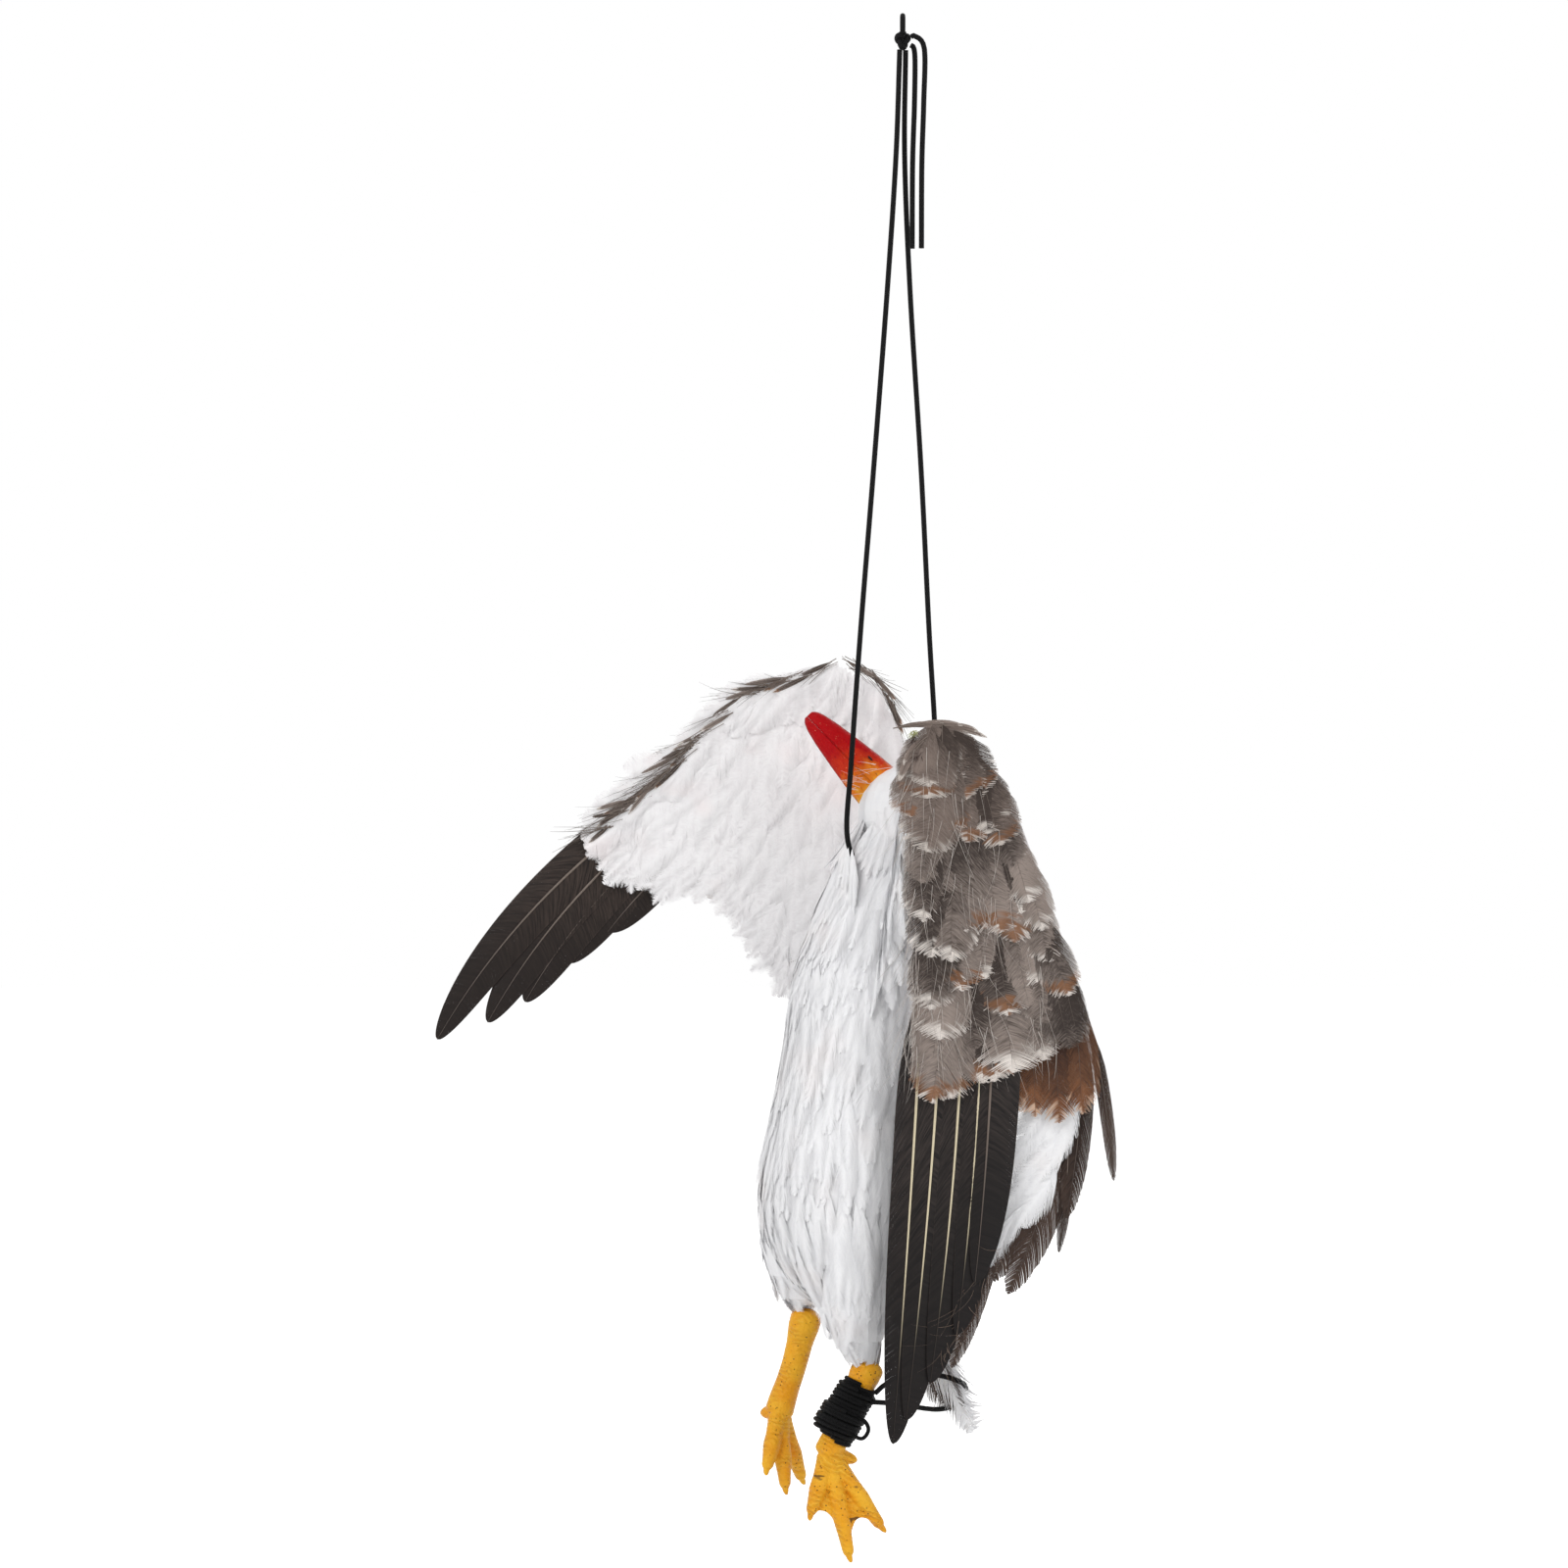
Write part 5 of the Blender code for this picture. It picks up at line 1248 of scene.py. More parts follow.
def make_near_primaries():
    """Root, tip, width, bend and how narrow its left vane is, front-most last."""
    shafts = (((0.004, -0.095), (-0.0105, -0.318), 0.030, -0.03, 0.62),
              ((0.013, -0.095), (-0.0045, -0.307), 0.031, -0.08, 0.50),
              ((0.0225, -0.095), (0.0065, -0.290), 0.032, -0.12, 0.45),
              ((0.031, -0.095), (0.0185, -0.268), 0.031, -0.12, 0.42),
              ((0.036, -0.095), (0.0270, -0.244), 0.028, -0.10, 0.48))
    for index, (root, tip, width, bend, narrow) in enumerate(shafts):
        coat = Coat()
        depth = -0.00165 + 0.0012 * index
        add_flight(coat, NEAR, root, tip, width, bend, depth, FLIGHT_FEATHER, None, narrow)
        coat.make(f"near_flight_feather_{index + 1}", "near_hand", [f"near_primary_{index + 1}"],
                  "feather_dark", [FLIGHT, CREAM_SHAFT if index < 4 else DARK_SHAFT])


def leaning(plane, root, tip, bend):
    """The heading at the root of a shaft that bends evenly on its way to the tip."""
    run = unit(np.array(tip) - np.array(root))
    turn = -bend / 2
    side = np.array((-run[1], run[0]))
    run = run * cos(turn) + side * sin(turn)
    return plane.u * run[0] + plane.v * run[1]


def inside(point, outline):
    """Whether a point lies in a closed outline, by the crossings to its right."""
    u, v = point
    count = 0
    for (u0, v0), (u1, v1) in zip(outline, outline[1:] + outline[:1]):
        if (v0 > v) != (v1 > v) and u < u0 + (v - v0) * (u1 - u0) / (v1 - v0):
            count += 1
    return count % 2 == 1


def fill(coat, plane, outline, roots, step, heading, length, width, style, depth, face=1.0, tilt=0.08,
         arch=0.10):
    """Feathers whose tips fill an outline and whose quills stay in the roots' outline."""
    corners = np.array(outline)
    low, high = corners.min(axis=0), corners.max(axis=0)
    for v in np.arange(low[1], high[1], step):
        for u in np.arange(low[0], high[0], step):
            tip = (u + rng.uniform(-0.4, 0.4) * step, v + rng.uniform(-0.4, 0.4) * step)
            if not inside(tip, outline):
                continue
            degrees = heading(*tip) + rng.normal(0.0, 9.0)
            run = np.array((sin(radians(degrees)), -cos(radians(degrees))))
            reach = length * rng.uniform(0.8, 1.15)
            while reach > 0.009 and not inside(tuple(np.array(tip) - run * reach), roots):
                reach -= 0.003
            root = np.array(tip) - run * reach
            if reach < 0.014 and not inside(tuple(root), roots):
                continue
            lift = tilt * rng.uniform(0.7, 1.3)
            along = (plane.u * run[0] + plane.v * run[1]) * cos(lift) + plane.n * sin(lift) * face
            add_feather(coat, plane.spot(root[0], root[1], depth + rng.uniform(0, 0.0006) * face), along,
                        plane.n * face, reach, min(width, reach * 0.6), style,
                        bend=rng.normal(0.0, 0.15), arch=arch + rng.uniform(0.0, 0.06))


NEAR_OUTLINE = [(0.002, 0.010), (0.018, 0.008), (0.029, -0.012), (0.046, -0.050), (0.058, -0.100),
                (0.062, -0.150), (0.056, -0.162), (0.030, -0.162), (0.004, -0.158), (0.002, -0.120),
                (0.001, -0.050)]
NEAR_ROOTS = [(0.002, 0.008), (0.024, 0.008), (0.042, -0.018), (0.055, -0.060), (0.060, -0.116),
              (0.030, -0.138), (0.002, -0.118), (-0.003, -0.050)]
FAR_OUTLINE = [(0.031, 0.066), (0.028, 0.080), (0.021, 0.092), (0.010, 0.100), (-0.001, 0.102),
               (-0.014, 0.099), (-0.030, 0.090), (-0.048, 0.078), (-0.064, 0.061), (-0.088, 0.036),
               (-0.104, 0.026), (-0.122, 0.008), (-0.108, -0.010), (-0.092, -0.015),
               (-0.076, -0.019), (-0.066, -0.014), (-0.057, -0.020), (-0.052, -0.026), (-0.046, -0.036),
               (-0.038, -0.046), (-0.032, -0.058), (-0.023, -0.067), (-0.010, -0.060), (0.006, -0.040),
               (0.018, -0.016), (0.024, 0.010)]
FAR_ROOTS = [(0.028, 0.062), (0.022, 0.080), (0.012, 0.093), (-0.008, 0.098), (-0.036, 0.087),
             (-0.062, 0.062), (-0.087, 0.036), (-0.102, 0.022), (-0.094, 0.004), (-0.050, -0.010),
             (-0.024, -0.034), (-0.006, -0.034), (0.018, 0.000)]
FAR_BACK_SHOULDER = [(0.020, 0.062), (0.014, 0.084), (-0.008, 0.093), (-0.038, 0.081), (-0.038, -0.034),
                     (-0.034, -0.044), (-0.022, -0.056), (-0.008, -0.048), (0.010, -0.026), (0.018, 0.004)]
FAR_BACK_WRIST = [(-0.034, 0.082), (-0.062, 0.058), (-0.087, 0.032), (-0.104, 0.016), (-0.098, -0.004),
                  (-0.072, -0.010), (-0.050, -0.020), (-0.034, -0.040)]


def near_heading(u, v):
    return -2.0 + 120.0 * u


def far_heading(u, v):
    """Down beside the body, and down to the left towards the wing's tip."""
    return np.interp(u, (-0.115, -0.060, -0.010, 0.020), (-52.0, -38.0, -14.0, -6.0))


def make_near_lining():
    coat = Coat()
    coat.skin("near_arm_board")
    fill(coat, NEAR, NEAR_OUTLINE, NEAR_ROOTS, 0.0085, near_heading, 0.030, 0.018, BODY_FEATHER, -0.0042,
         face=-1.0, tilt=0.04, arch=0.06)
    narrow_top(coat)
    coat.make("near_lining_plumage", "near_arm", ["near_lining", "near_arm_board"], "feather_white",
              [LINING, PALE_SHAFT])


def far_edge_feathers(coat):
    """Curly tips along the lining's lower edge."""
    low_edge = FAR_OUTLINE[11:22]
    for (u0, v0), (u1, v1) in zip(low_edge, low_edge[1:]):
        count = max(2, round(np.hypot(u1 - u0, v1 - v0) / 0.0045))
        for index in range(count):
            share = (index + rng.uniform(0.2, 0.8)) / count
            u = u0 + (u1 - u0) * share
            v = v0 + (v1 - v0) * share
            degrees = far_heading(u, v) + rng.normal(0.0, 14.0)
            reach = rng.uniform(0.018, 0.026)
            root = (u - sin(radians(degrees)) * reach * 1.08, v + cos(radians(degrees)) * reach * 1.08)
            along = FAR.heading(degrees)
            add_feather(coat, FAR.spot(*root, 0.0048), along, FAR.n, reach, rng.uniform(0.008, 0.012),
                        SHAGGY_FEATHER, bend=rng.normal(0.0, 0.45), arch=0.05)


def make_far_lining():
    upper, lower = Coat(), Coat()
    fill(lower, FAR, FAR_OUTLINE, FAR_ROOTS, 0.0075, far_heading, 0.036, 0.022, BODY_FEATHER, 0.0042,
         tilt=0.035, arch=0.07)
    far_edge_feathers(lower)
    edge = (((-0.104, 0.024), (-0.044, 0.082), 22, (-66, -50)),
            ((-0.044, 0.082), (0.000, 0.099), 18, (-66, -36)),
            ((0.000, 0.099), (0.020, 0.090), 10, (-36, -10)),
            ((0.020, 0.090), (0.029, 0.064), 8, (-10, 6)))
    for left, right, count, heading in edge:
        for inset in (0.0, 0.006):
            add_row(upper, FAR, (left[0], left[1] - inset), (right[0], right[1] - inset), count, heading,
                    (0.020, 0.024, 0.022), 0.013, SOFT_FEATHER, 0.0052, lift=0.03, arch=0.06, spread=12.0)
    lower.make("far_lower_lining", "far_arm", ["far_lining_lower"], "feather_white", [LINING, PALE_SHAFT])
    upper.make("far_upper_lining", "far_arm", ["far_lining_upper"], "feather_white", [LINING, PALE_SHAFT])


def add_edge_hair(coat, left, right, count, heading):
    """Thin barbs in loose bunches along an edge of the far wing."""
    for _ in range(count):
        share = np.clip(np.round(rng.random() * 9) / 9 + rng.normal(0.0, 0.02), 0.0, 1.0)
        u = left[0] + (right[0] - left[0]) * share
        v = left[1] + (right[1] - left[1]) * share + rng.normal(0.0, 0.0012)
        degrees = heading[0] + (heading[1] - heading[0]) * share + rng.normal(0.0, 8.0)
        start = FAR.spot(u, v, rng.uniform(0.002, 0.008))
        curl = FAR.v * rng.normal(0.0, 0.14)
        add_hair(coat, start, FAR.heading(degrees), curl, rng.uniform(0.014, 0.030),
                 rng.uniform(0.00012, 0.00028), 1)


def make_far_coverts():
    """Grey back of the wing, with thin feathers that show along its leading edge."""
    layers = (
        ("far_shoulder_coverts", "far_covert_row_1", (
            ((-0.034, 0.062), (0.016, 0.052), 9, (-34, -4), 0.050, -0.0062),
            ((-0.040, 0.074), (0.016, 0.078), 11, (-52, 0), 0.040, -0.0072)),
         (((-0.040, 0.084), (0.002, 0.101), 22, (-84, -58)), ((0.004, 0.101), (0.020, 0.094), 8, (60, 40)),
          ((0.018, 0.094), (0.029, 0.080), 8, (36, 16)))),
        ("far_wrist_coverts", "far_covert_row_2", (
            ((-0.094, 0.018), (-0.040, 0.050), 9, (-52, -34), 0.042, -0.0062),
            ((-0.098, 0.022), (-0.040, 0.074), 12, (-62, -48), 0.032, -0.0072)),
         (((-0.108, 0.022), (-0.042, 0.085), 44, (-66, -50)),
          ((-0.106, 0.020), (-0.044, 0.080), 20, (-76, -56)))),
    )
    for name, node, rows, edges in layers:
        coat = Coat()
        shoulder = node == "far_covert_row_1"
        outline = FAR_BACK_SHOULDER if shoulder else FAR_BACK_WRIST
        fill(coat, FAR, outline, outline, 0.0095, far_heading, 0.034, 0.020, SOFT_FEATHER, -0.0056, face=-1.0,
             tilt=0.05, arch=0.06)
        for left, right, count, heading, length, depth in rows:
            add_row(coat, FAR, left, right, count, heading, (length, length, length), 0.018, COVERT_FEATHER,
                    depth, face=-1.0, lift=0.05, arch=0.05)
        for left, right, count, heading in edges:
            inset = (left[0], left[1] - 0.001), (right[0], right[1] - 0.001)
            add_row(coat, FAR, *inset, round(count * 0.28), heading, (0.014, 0.024, 0.017), 0.0022,
                    DARK_FEATHER, 0.0060, lift=0.02, arch=0.04, spread=9.0)
            add_edge_hair(coat, *inset, count * 3, heading)
        coat.make(name, "far_arm", [node], "feather_grey", [COVERT, DARK_SHAFT])


def make_far_primaries():
    """The blade's stepped feathers, the outermost first; the last piece holds the short inner ones."""
    shafts = ((((-0.078, 0.036), (-0.1905, -0.0825), 0.021, 0.46),),
              (((-0.078, 0.028), (-0.1660, -0.0740), 0.021, 0.40),),
              (((-0.076, 0.022), (-0.1480, -0.0640), 0.021, 0.34),),
              (((-0.072, 0.018), (-0.1270, -0.0450), 0.020, 0.26),
               ((-0.066, 0.014), (-0.1080, -0.0300), 0.020, 0.20),
               ((-0.060, 0.010), (-0.0920, -0.0140), 0.018, 0.15)))
    for number, feathers in enumerate(shafts):
        coat = Coat()
        for step, (root, tip, width, bend) in enumerate(feathers):
            depth = -0.00165 + 0.0012 * (3 - number) - 0.0006 * step
            add_flight(coat, FAR, root, tip, width, bend, depth, FLIGHT_FEATHER, None)
        coat.make(f"far_flight_feather_{number + 1}", "far_hand", [f"far_primary_{number + 1}"],
                  "feather_dark", [FAR_FLIGHT, DARK_SHAFT])


make_near_coverts()
make_near_tertials()
make_near_primaries()
make_near_lining()
make_far_lining()
make_far_coverts()
make_far_primaries()


# Beak and eyes
def beak_paint():
    """Deep glossy red at the tip, orange, then yellow at the base, with a red ridge, painted shade along the
    outline and the gape, and fine pale specks of painted highlight.
    """
    paint = Paint("beak_enamel", 0.34, 0.10)
    around, along = paint.uv("Vane")[:2]
    spot = paint.place()
    blotch = paint.noise(spot, 260.0, 3.0)
    ridge = paint.step(paint.sum("COSINE", paint.times(around, 2 * pi)), 0.35, 0.95, 0.0, 0.22)
    tip = paint.plus(along, paint.times(paint.minus(blotch, 0.5), 0.30))
    tip = paint.plus(tip, ridge)
    base = paint.mix(paint.step(tip, 0.05, 0.22), (0.88, 0.47, 0.045), (0.78, 0.20, 0.015))
    base = paint.mix(paint.step(tip, 0.22, 0.42), base, (0.56, 0.030, 0.008))
    base = paint.mix(paint.step(tip, 0.42, 0.60), base, (0.42, 0.0015, 0.0045))
    grain = paint.noise(paint.vector(paint.times(along, 9.0), paint.times(around, 26.0)), 3.0, 3.0)
    base = paint.mix(paint.step(grain, 0.60, 0.78, 0.0, 0.35), base, (0.85, 0.09, 0.03))
    base = paint.mix(paint.step(grain, 0.44, 0.28, 0.0, 0.60), base, (0.20, 0.002, 0.004))
    # Painted shade: darker along each mandible's top and bottom, where it turns away from view and meets the
    # gape
    rim = paint.sum("ABSOLUTE", paint.sum("SINE", paint.times(around, 2 * pi)))
    base = paint.mix(paint.step(rim, 0.45, 0.10, 0.0, 0.55), base, (0.22, 0.003, 0.005))
    # Painted highlight: fine pale specks standing for small glints on the enamel
    fine = paint.noise(spot, 1300.0, 2.0)
    base = paint.mix(paint.step(fine, 0.70, 0.75, 0.0, 0.6), base, (0.95, 0.50, 0.30))
    return paint.done(base, paint.step(blotch, 0.3, 0.7, 0.22, 0.45), grain, 0.0005, 0.6)


BEAK_SHARES = (0.0, 0.25, 0.50, 0.75, 0.90, 0.97, 1.0)
BEAK_SIZES = (1.0, 0.90, 0.75, 0.58, 0.44, 0.32, 0.18)
BEAK_HALF_DEPTH = 0.0122
BEAK_HALF_WIDTH = 0.0066
BEAK_REACH = 0.0632
BEAK_TURNS = 32
GAPE = 0.0008


def make_mandible(name, node, keep):
    """Half of the beak's oval, closed along the gape."""
    axis = np.array(beak_axis())
    ridge = np.array((cos(BEAK_TILT), 0.0, -sin(BEAK_TILT)))
    turns = np.arange(BEAK_TURNS + 1) * 2 * pi / BEAK_TURNS
    start = HEAD_RADIUS * 0.62
    corners, vane = [], []
    for share in [*np.linspace(0.0, 0.94, 26), 0.96, 0.98, 0.99, 1.0, 1.0]:
        size = np.interp(share, BEAK_SHARES, BEAK_SIZES) * (1.0 if len(corners) < 30 else 0.02)
        high = keep(np.cos(turns) * BEAK_HALF_DEPTH * size)
        wide = np.sin(turns) * BEAK_HALF_WIDTH * size ** 0.8
        middle = np.array(HEAD_CENTRE) + axis * (start + (BEAK_REACH - start) * share) - ridge * 0.0006
        corners.append(middle + high[:, None] * ridge + wide[:, None] * np.array((0.0, 1.0, 0.0)))
        vane.append(np.stack((turns / (2 * pi), np.full(len(turns), share)), axis=-1))
    coat = Coat()
    faces = ring_faces(len(corners), BEAK_TURNS)
    coat.add(np.concatenate(corners), faces, np.concatenate(vane), (0.5, 0.5))
    coat.make(name, "head", [node], "beak_orange", [BEAK])


# The nostrils are small dark lenses on the beak: painted shade standing for the dark inside of the openings
def make_nostrils():
    coat = Coat()
    axis = np.array(beak_axis())
    ridge = np.array((cos(BEAK_TILT), 0.0, -sin(BEAK_TILT)))
    for side in (-1, 1):
        middle = np.array(HEAD_CENTRE) + axis * 0.0285 + ridge * 0.0062 + np.array((0.0, side * 0.0052, 0.0))
        rows = [(middle + axis * 0.0015 * cos(pi * step / 8), ridge * 0.0005 * sin(pi * step / 8),
                 np.array((0.0, 0.0007, 0.0)) * sin(pi * step / 8), 0.5) for step in range(9)]
        loft(coat, rows, 12)
    coat.make("nostrils", "head", [], "eye_black", [DARK_HOLLOW])


def eye_paint():
    """A glossy dark bead, clouded towards its rim as on a dead bird."""
    paint = Paint("glass_eye", 0.08, 0.5)
    cloud = paint.noise(paint.place(), 700.0, 3.0)
    return paint.done(paint.mix(paint.step(cloud, 0.45, 0.75), (0.008, 0.007, 0.006), (0.06, 0.055, 0.045)),
                      paint.step(cloud, 0.3, 0.7, 0.05, 0.18), cloud, 0.00005)


BEAK = beak_paint()
make_mandible("upper_beak", "upper_mandible", lambda high: np.maximum(high, -GAPE))
make_mandible("lower_beak", "lower_mandible", lambda high: np.minimum(high, -GAPE - 0.0001))
make_nostrils()


# Legs
def leg_paint(name, axis, base):
    """Yellow rubbery skin: ridges painted paler as painted light, hollows painted orange as painted shade,
    and small dark specks.
    """
    paint = Paint(name, 0.42, 0.16)
    spot = paint.place()
    run = paint.times(paint.dot(spot, axis), 2 * pi / 0.0026)
    bend = paint.times(paint.noise(spot, 110.0, 3.0), 22.0)
    scute = paint.sum("SINE", paint.plus(run, bend))
    scute = paint.times(scute, paint.step(paint.noise(spot, 90.0, 1.0), 0.38, 0.60, 0.25, 1.0))
    cloud = paint.noise(spot, 75.0, 3.0)
    skin = paint.mix(paint.step(cloud, 0.35, 0.70), base, (0.88, 0.46, 0.030))
    # Painted shade in the hollows between the scutes, and painted light on their ridges
    skin = paint.mix(paint.step(scute, -0.9, -0.4, 0.30, 0.0), skin, (0.62, 0.20, 0.006))
    skin = paint.mix(paint.step(scute, 0.6, 1.0, 0.0, 0.22), skin, (0.92, 0.58, 0.10))
    speck = paint.cells(spot, 520.0)
    spread = paint.step(paint.noise(spot, 180.0, 1.0), 0.40, 0.58)
    dots = paint.times(paint.step(speck, 0.22, 0.12), spread)
    skin = paint.mix(dots, skin, (0.055, 0.020, 0.006))
    long_spot = [paint.times(value, rate) for value, rate in zip(paint.parts(spot), (0.6, 0.6, 1.6))]
    mark = paint.noise(paint.vector(*long_spot), 105.0, 3.0)
    skin = paint.mix(paint.step(mark, 0.69, 0.74, 0.0, 0.85), skin, (0.050, 0.020, 0.008))
    height = paint.plus(paint.times(scute, 0.55), paint.noise(spot, 900.0, 3.0))
    return paint.done(skin, paint.step(cloud, 0.3, 0.7, 0.26, 0.45), height, 0.0007, 0.7)


def add_limb(coat, chosen, radius, swell, pitch=0.0026, ridge=0.07):
    """A tube with raised scutes across it and rounded ends."""
    route = smooth_route([Vector(point) for point in chosen], 0.0004)
    count = len(route)
    share = np.linspace(0.0, 1.0, count)
    size = np.interp(share, np.linspace(0.0, 1.0, len(swell)), swell)
    along = share * route_length(route)
    size = size * (1.0 + ridge * (np.abs(np.sin(along * pi / pitch)) - 0.5))
    from_end = np.minimum(along, along[-1] - along) / (radius * 0.8)
    ends = np.sqrt(np.clip(1.0 - (1.0 - from_end).clip(0.0) ** 2, 0.02, 1))
    add_tube(coat, route, radius * size * ends, 18)


def add_web(coat, ankle, first, second, sag):
    """The skin between two toes: a thin solid patch that dips between them."""
    ankle, first, second = (np.array(point) for point in (ankle, first, second))
    normal = unit(np.cross(first - ankle, second - ankle))
    size = 14
    grid = []
    for face in (-1, 1):
        for row in range(size + 1):
            far = 0.06 + 0.88 * row / size
            for column in range(size + 1):
                side = column / size
                dip = 4 * side * (1 - side)
                reach = far * (1.0 - 0.22 * dip * far)
                place = ankle + ((first - ankle) * (1 - side) + (second - ankle) * side) * reach
                grid.append(place + normal * (face * 0.0008 + sag * dip * far * sin(far * 3)))
    width = size + 1
    layer = width * width
    faces = []
    for row in range(size):
        for column in range(size):
            a = row * width + column
            b, c, d = a + 1, a + width + 1, a + width
            faces.append((a, b, c, d))
            faces.append((a + layer, d + layer, c + layer, b + layer))
    rim = [*range(0, size), *range(size, layer - width + size, width),
           *range(layer - 1, layer - width, -1), *range(layer - width, 0, -width)]
    for a, b in zip(rim, rim[1:] + rim[:1]):
        faces.append((b, a, a + layer, b + layer))
    coat.add(np.array(grid), np.array(faces), np.zeros((len(grid), 2)), (0.5, 0.5))


def remeshed(name, coat, body, nodes, paint, voxel):
    """The coat's closed forms fused into one skin."""
    rough = coat.make(name + "_rough", body, [], "leg_yellow", [paint])
    fuse = rough.modifiers.new("fuse", "REMESH")
    fuse.mode = "VOXEL"
    fuse.voxel_size = voxel
    fuse.use_smooth_shade = True
    ease = rough.modifiers.new("ease", "SMOOTH")
    ease.factor = 0.5
    ease.iterations = 3
    graph = bpy.context.evaluated_depsgraph_get()
    mesh = bpy.data.meshes.new_from_object(rough.evaluated_get(graph))
    mesh.name = name
    bpy.data.objects.remove(rough, do_unlink=True)
    mesh.materials.clear()
    mesh.materials.append(paint)
    return settle(bpy.data.objects.new(name, mesh), body, nodes)


def make_leg(name, node, body, knee, ankle, toes, hallux, paint):
    coat = Coat()
    shin = knee.lerp(ankle, 0.5) + (ankle - knee).cross(Vector((0.0, 1.0, 0.0))).normalized() * 0.0006
    add_limb(coat, (knee + (knee - ankle).normalized() * 0.004, knee.lerp(ankle, 0.12), shin,
                    knee.lerp(ankle, 0.86), ankle - (knee - ankle).normalized() * 0.003), 0.0058,
             (1.30, 1.28, 1.08, 1.04, 1.05, 1.14, 1.22), ridge=0.012)
    for reach in toes:
        tip = ankle + reach
        middle = ankle + reach * 0.5 + Vector((0.0, -0.0015, 0.0))
        add_limb(coat, (ankle, middle, tip), 0.0040, (1.30, 1.10, 1.00, 1.05, 0.80, 0.62), 0.0022, 0.05)
        claw = tip + reach.normalized() * 0.0028 + Vector((0.0005, 0.0, 0.0))
        add_limb(coat, (tip - reach * 0.04, tip, claw), 0.0016, (1.0, 0.9, 0.45), 0.01, 0.0)
    add_limb(coat, (ankle, ankle + hallux * 0.6, ankle + hallux), 0.0036, (1.15, 1.0, 0.45), 0.0024, 0.03)
    for first, second in zip(toes, toes[1:]):
        add_web(coat, ankle, ankle + first, ankle + second, 0.0016)
    return remeshed(name, coat, body, [node], paint, 0.00045)


TIED_LEG_SKIN = leg_paint("tied_leg_skin", tuple((NEAR_ANKLE - NEAR_KNEE).normalized()), (0.84, 0.36, 0.014))
FREE_LEG_SKIN = leg_paint("free_leg_skin", tuple((FAR_ANKLE - FAR_KNEE).normalized()), (0.83, 0.35, 0.014))
make_leg("tied_leg_and_foot", "tied_leg", "bird", NEAR_KNEE, NEAR_ANKLE,
         (Vector((-0.0085, -0.006, -0.0285)), Vector((0.0097, -0.005, -0.0480)),
          Vector((0.0250, 0.003, -0.0355))),
         Vector((0.0135, 0.005, -0.0045)), TIED_LEG_SKIN)
make_leg("free_leg_and_foot", "free_leg", "free_leg", FAR_KNEE, FAR_ANKLE,
         (Vector((-0.006, -0.014, -0.026)), Vector((0.003, -0.006, -0.036)), Vector((0.011, 0.013, -0.034))),
         Vector((-0.0090, 0.004, -0.001)), FREE_LEG_SKIN)


# Cord on the leg and tail
WINDING_PITCH = 0.0018
WINDING_LEAN = Vector((-0.11, 0.0, 0.01))


def wrap_route(radius, start, turns, wander, lean):
    """A winding round the tied leg that wanders a little; its outer layers lean off the shin."""
    along = (NEAR_ANKLE - NEAR_KNEE).normalized()
    across = Vector((0.0, -1.0, 0.0))
    side = along.cross(across).normalized()
    points = []
    for step in range(turns * 24 + 1):
        turn = 2 * pi * step / 24
        drift = wander * sin(turn * 0.37 + start * 900)
        reach = start + WINDING_PITCH * step / 24 + drift
        centre = NEAR_KNEE + along * reach + WINDING_LEAN * max(0.0, reach - 0.010) * lean
        points.append(centre + (across * cos(turn) + side * sin(turn)) * radius)
    return points


def make_wrap():
    coat = Coat()
    inner = 0.0064 + WINDING_D / 2
    layers = (wrap_route(inner, 0.0080, 16, 0.0, 0), wrap_route(inner + 0.0015, 0.0110, 13, 0.0002, 1),
              wrap_route(inner + 0.0028, 0.0215, 6, 0.0003, 1),
              smooth_route([Vector((-0.0255, -0.0262, -0.6535)), Vector((-0.0190, -0.0275, -0.6545)),
                            Vector((-0.0165, -0.0275, -0.6590)), Vector((-0.0195, -0.0270, -0.6632)),
                            Vector((-0.0255, -0.0262, -0.6610))], 0.0006),
              smooth_route([Vector((-0.0235, -0.0262, -0.6488)), Vector((-0.0168, -0.0275, -0.6492))],
                           0.0006))
    for route in layers:
        add_tube(coat, route, WINDING_D / 2, 10, False, BRAID_PITCH / WINDING_D)
    coat.make("leg_winding", "bird", ["leg_wrap"], "cord_black", [CORD])


def make_tie_cord():
    chosen = [Vector((-0.0133, -0.0244, -0.6424)), Vector((-0.0078, -0.0260, -0.6378)),
              Vector((0.0030, -0.0255, -0.6350)), Vector((0.0140, -0.0200, -0.6345)),
              Vector((0.0210, -0.0169, -0.6360)), Vector((0.0262, -0.0158, -0.6380)),
              Vector((0.0286, -0.0095, -0.6400)), Vector((0.0290, 0.0000, -0.6420)),
              Vector((0.0300, 0.0095, -0.6440)), Vector((0.0280, 0.0160, -0.6460)),
              Vector((0.0240, 0.0160, -0.6480)), Vector((0.0230, 0.0090, -0.6500)),
              Vector((0.0225, 0.0000, -0.6515)), Vector((0.0150, -0.0110, -0.6515)),
              Vector((0.0030, -0.0200, -0.6490)), Vector((-0.0072, -0.0245, -0.6470)),
              Vector((-0.0152, -0.0244, -0.6465))]
    free_cord("tail_tie", chosen, TIE_CORD_D, "bird", "tie_cord")


make_wrap()
make_tie_cord()


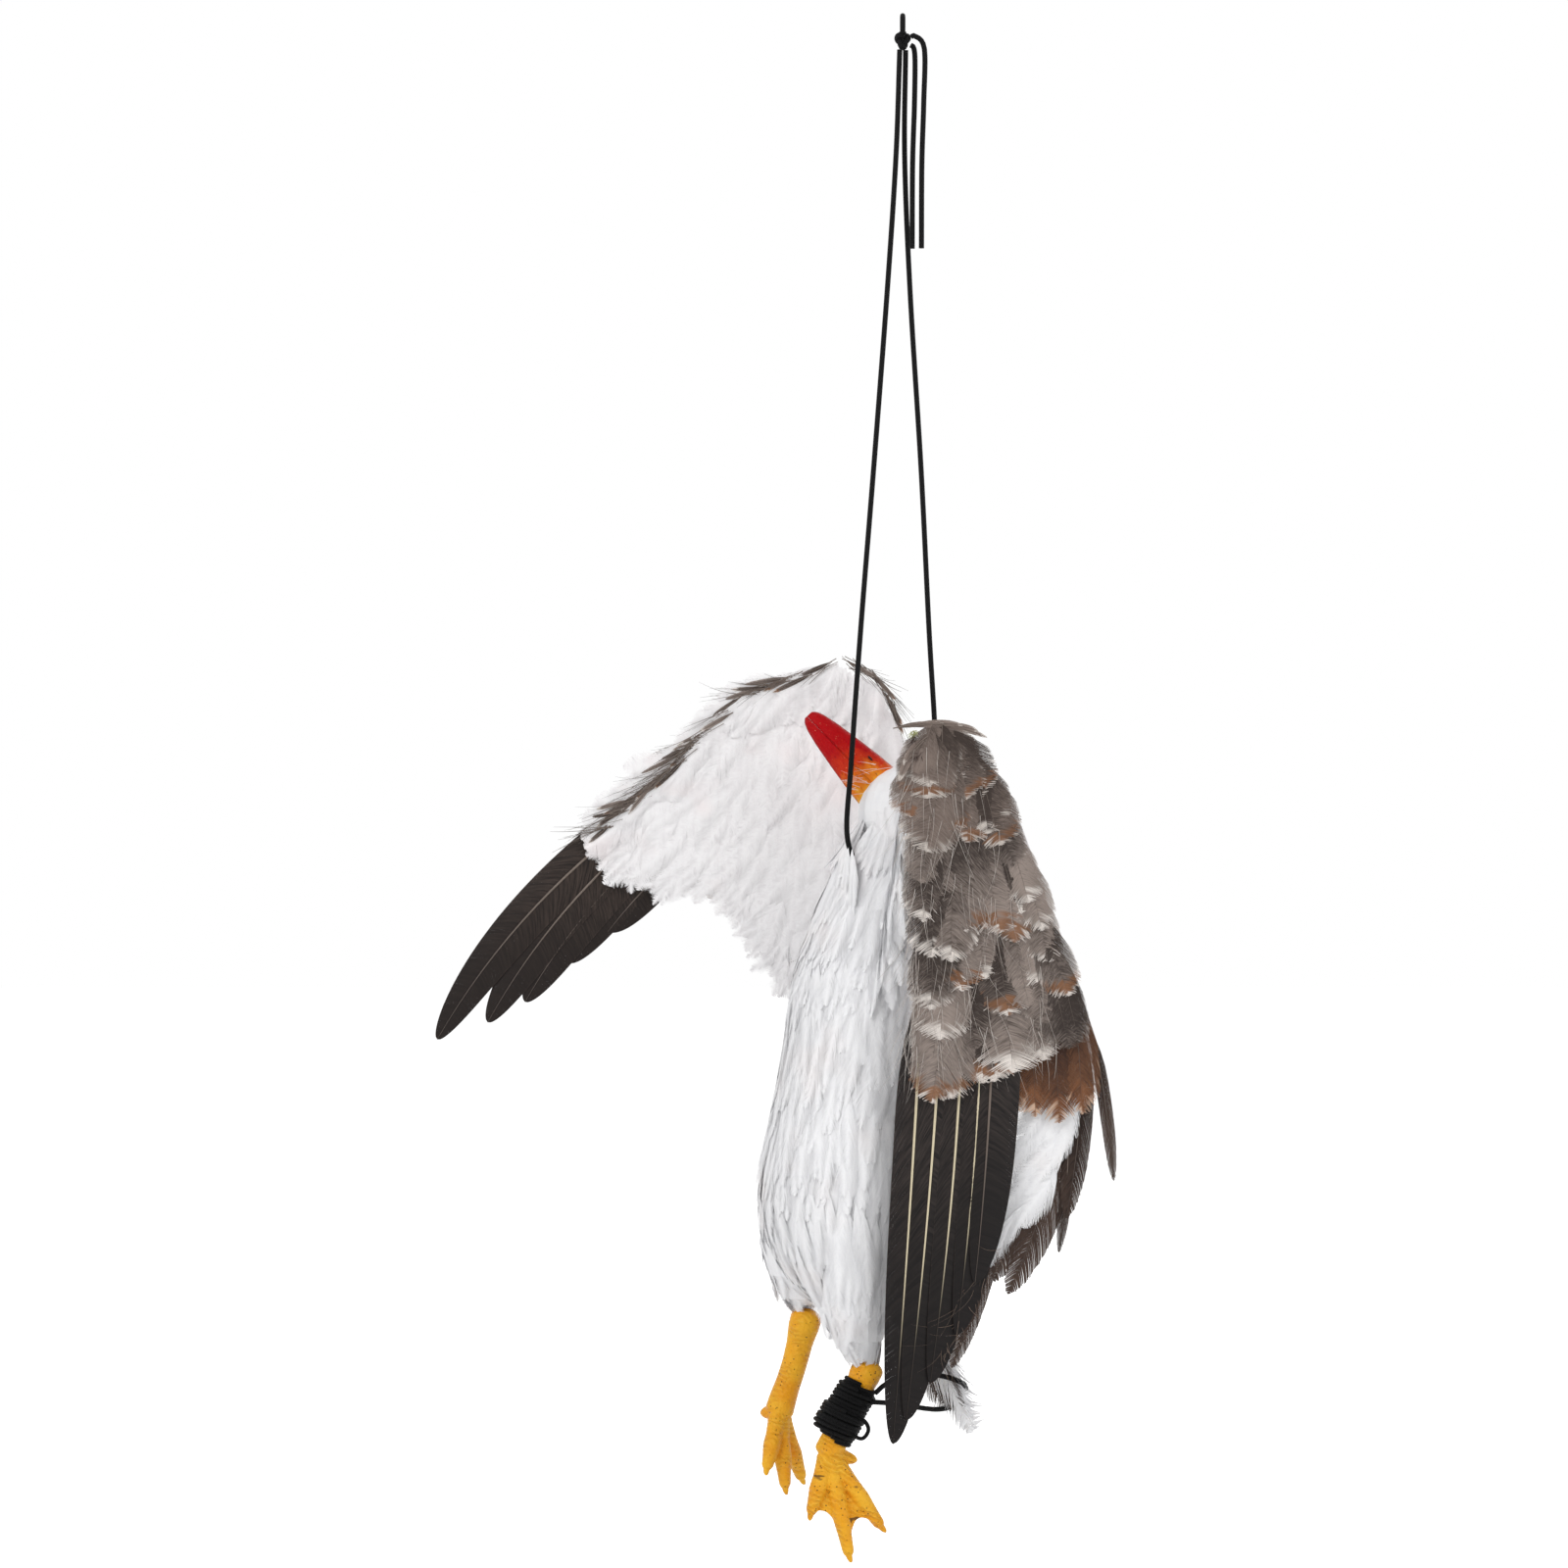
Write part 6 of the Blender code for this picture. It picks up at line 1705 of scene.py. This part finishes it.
# Tail
def make_tail():
    down = unit(TAIL_TIP - TAIL_ROOT)
    across = np.array((0.0, 1.0, 0.0))
    back = -np.cross(across, down)
    length = (TAIL_TIP - TAIL_ROOT).length
    groups = (("tail_white_feathers", "tail_feather_mid", WHITE, SHAGGY_FEATHER,
               ((0, 0.0, 0.0), (10, 0.3, 0.002), (-10, -0.3, 0.002), (4, 0.9, 0.003), (-5, -0.9, 0.004),
                (-8, 1.3, -0.002), (-14, 1.1, 0.001), (3, 1.5, -0.004))),
              ("tail_near_dark", "tail_feather_near", DARK_TAIL, COVERT_FEATHER,
               ((-7, 0.9, -0.001), (-12, 0.5, 0.001), (-3, 1.2, -0.003))),
              ("tail_far_dark", "tail_feather_far", DARK_TAIL, COVERT_FEATHER,
               ((7, -0.9, -0.001), (12, -0.5, 0.001), (2, -0.2, -0.002))))
    for name, node, paint, style, feathers in groups:
        coat = Coat()
        for fan, roll, out in feathers:
            turn = radians(fan)
            along = down * cos(turn) + across * sin(turn)
            facing = back * cos(roll) + across * sin(roll)
            reach = length - 0.024 if style is COVERT_FEATHER else length - 0.012
            root = np.array(TAIL_ROOT) + down * 0.012 + back * (0.0052 + out) + across * sin(turn) * 0.010
            add_feather(coat, root, along, facing, reach * rng.uniform(0.94, 1.04), 0.017, style,
                        bend=rng.normal(0.0, 0.05), arch=0.05)
        coat.make(name, "bird", [node], "feather_dark" if paint is DARK_TAIL else "feather_white",
                  [paint, DARK_SHAFT if paint is DARK_TAIL else PALE_SHAFT])


make_tail()


# Carried-over solids
def repaint(paint, *nodes):
    for name in nodes:
        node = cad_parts[name]
        for slot in node.material_slots:
            slot.material = paint


repaint(FOAM, "body_core", "tail_block")
repaint(eye_paint(), "near_eye", "far_eye")
repaint(WIRE, "neck_wire", "near_wing_wire", "far_wing_wire", "tied_leg_wire", "free_leg_wire",
        "near_wrist_pin", "far_wrist_pin")
repaint(FELT, "near_root_pad", "near_hand_board", "far_root_pad", "far_arm_board",
        "far_hand_board")
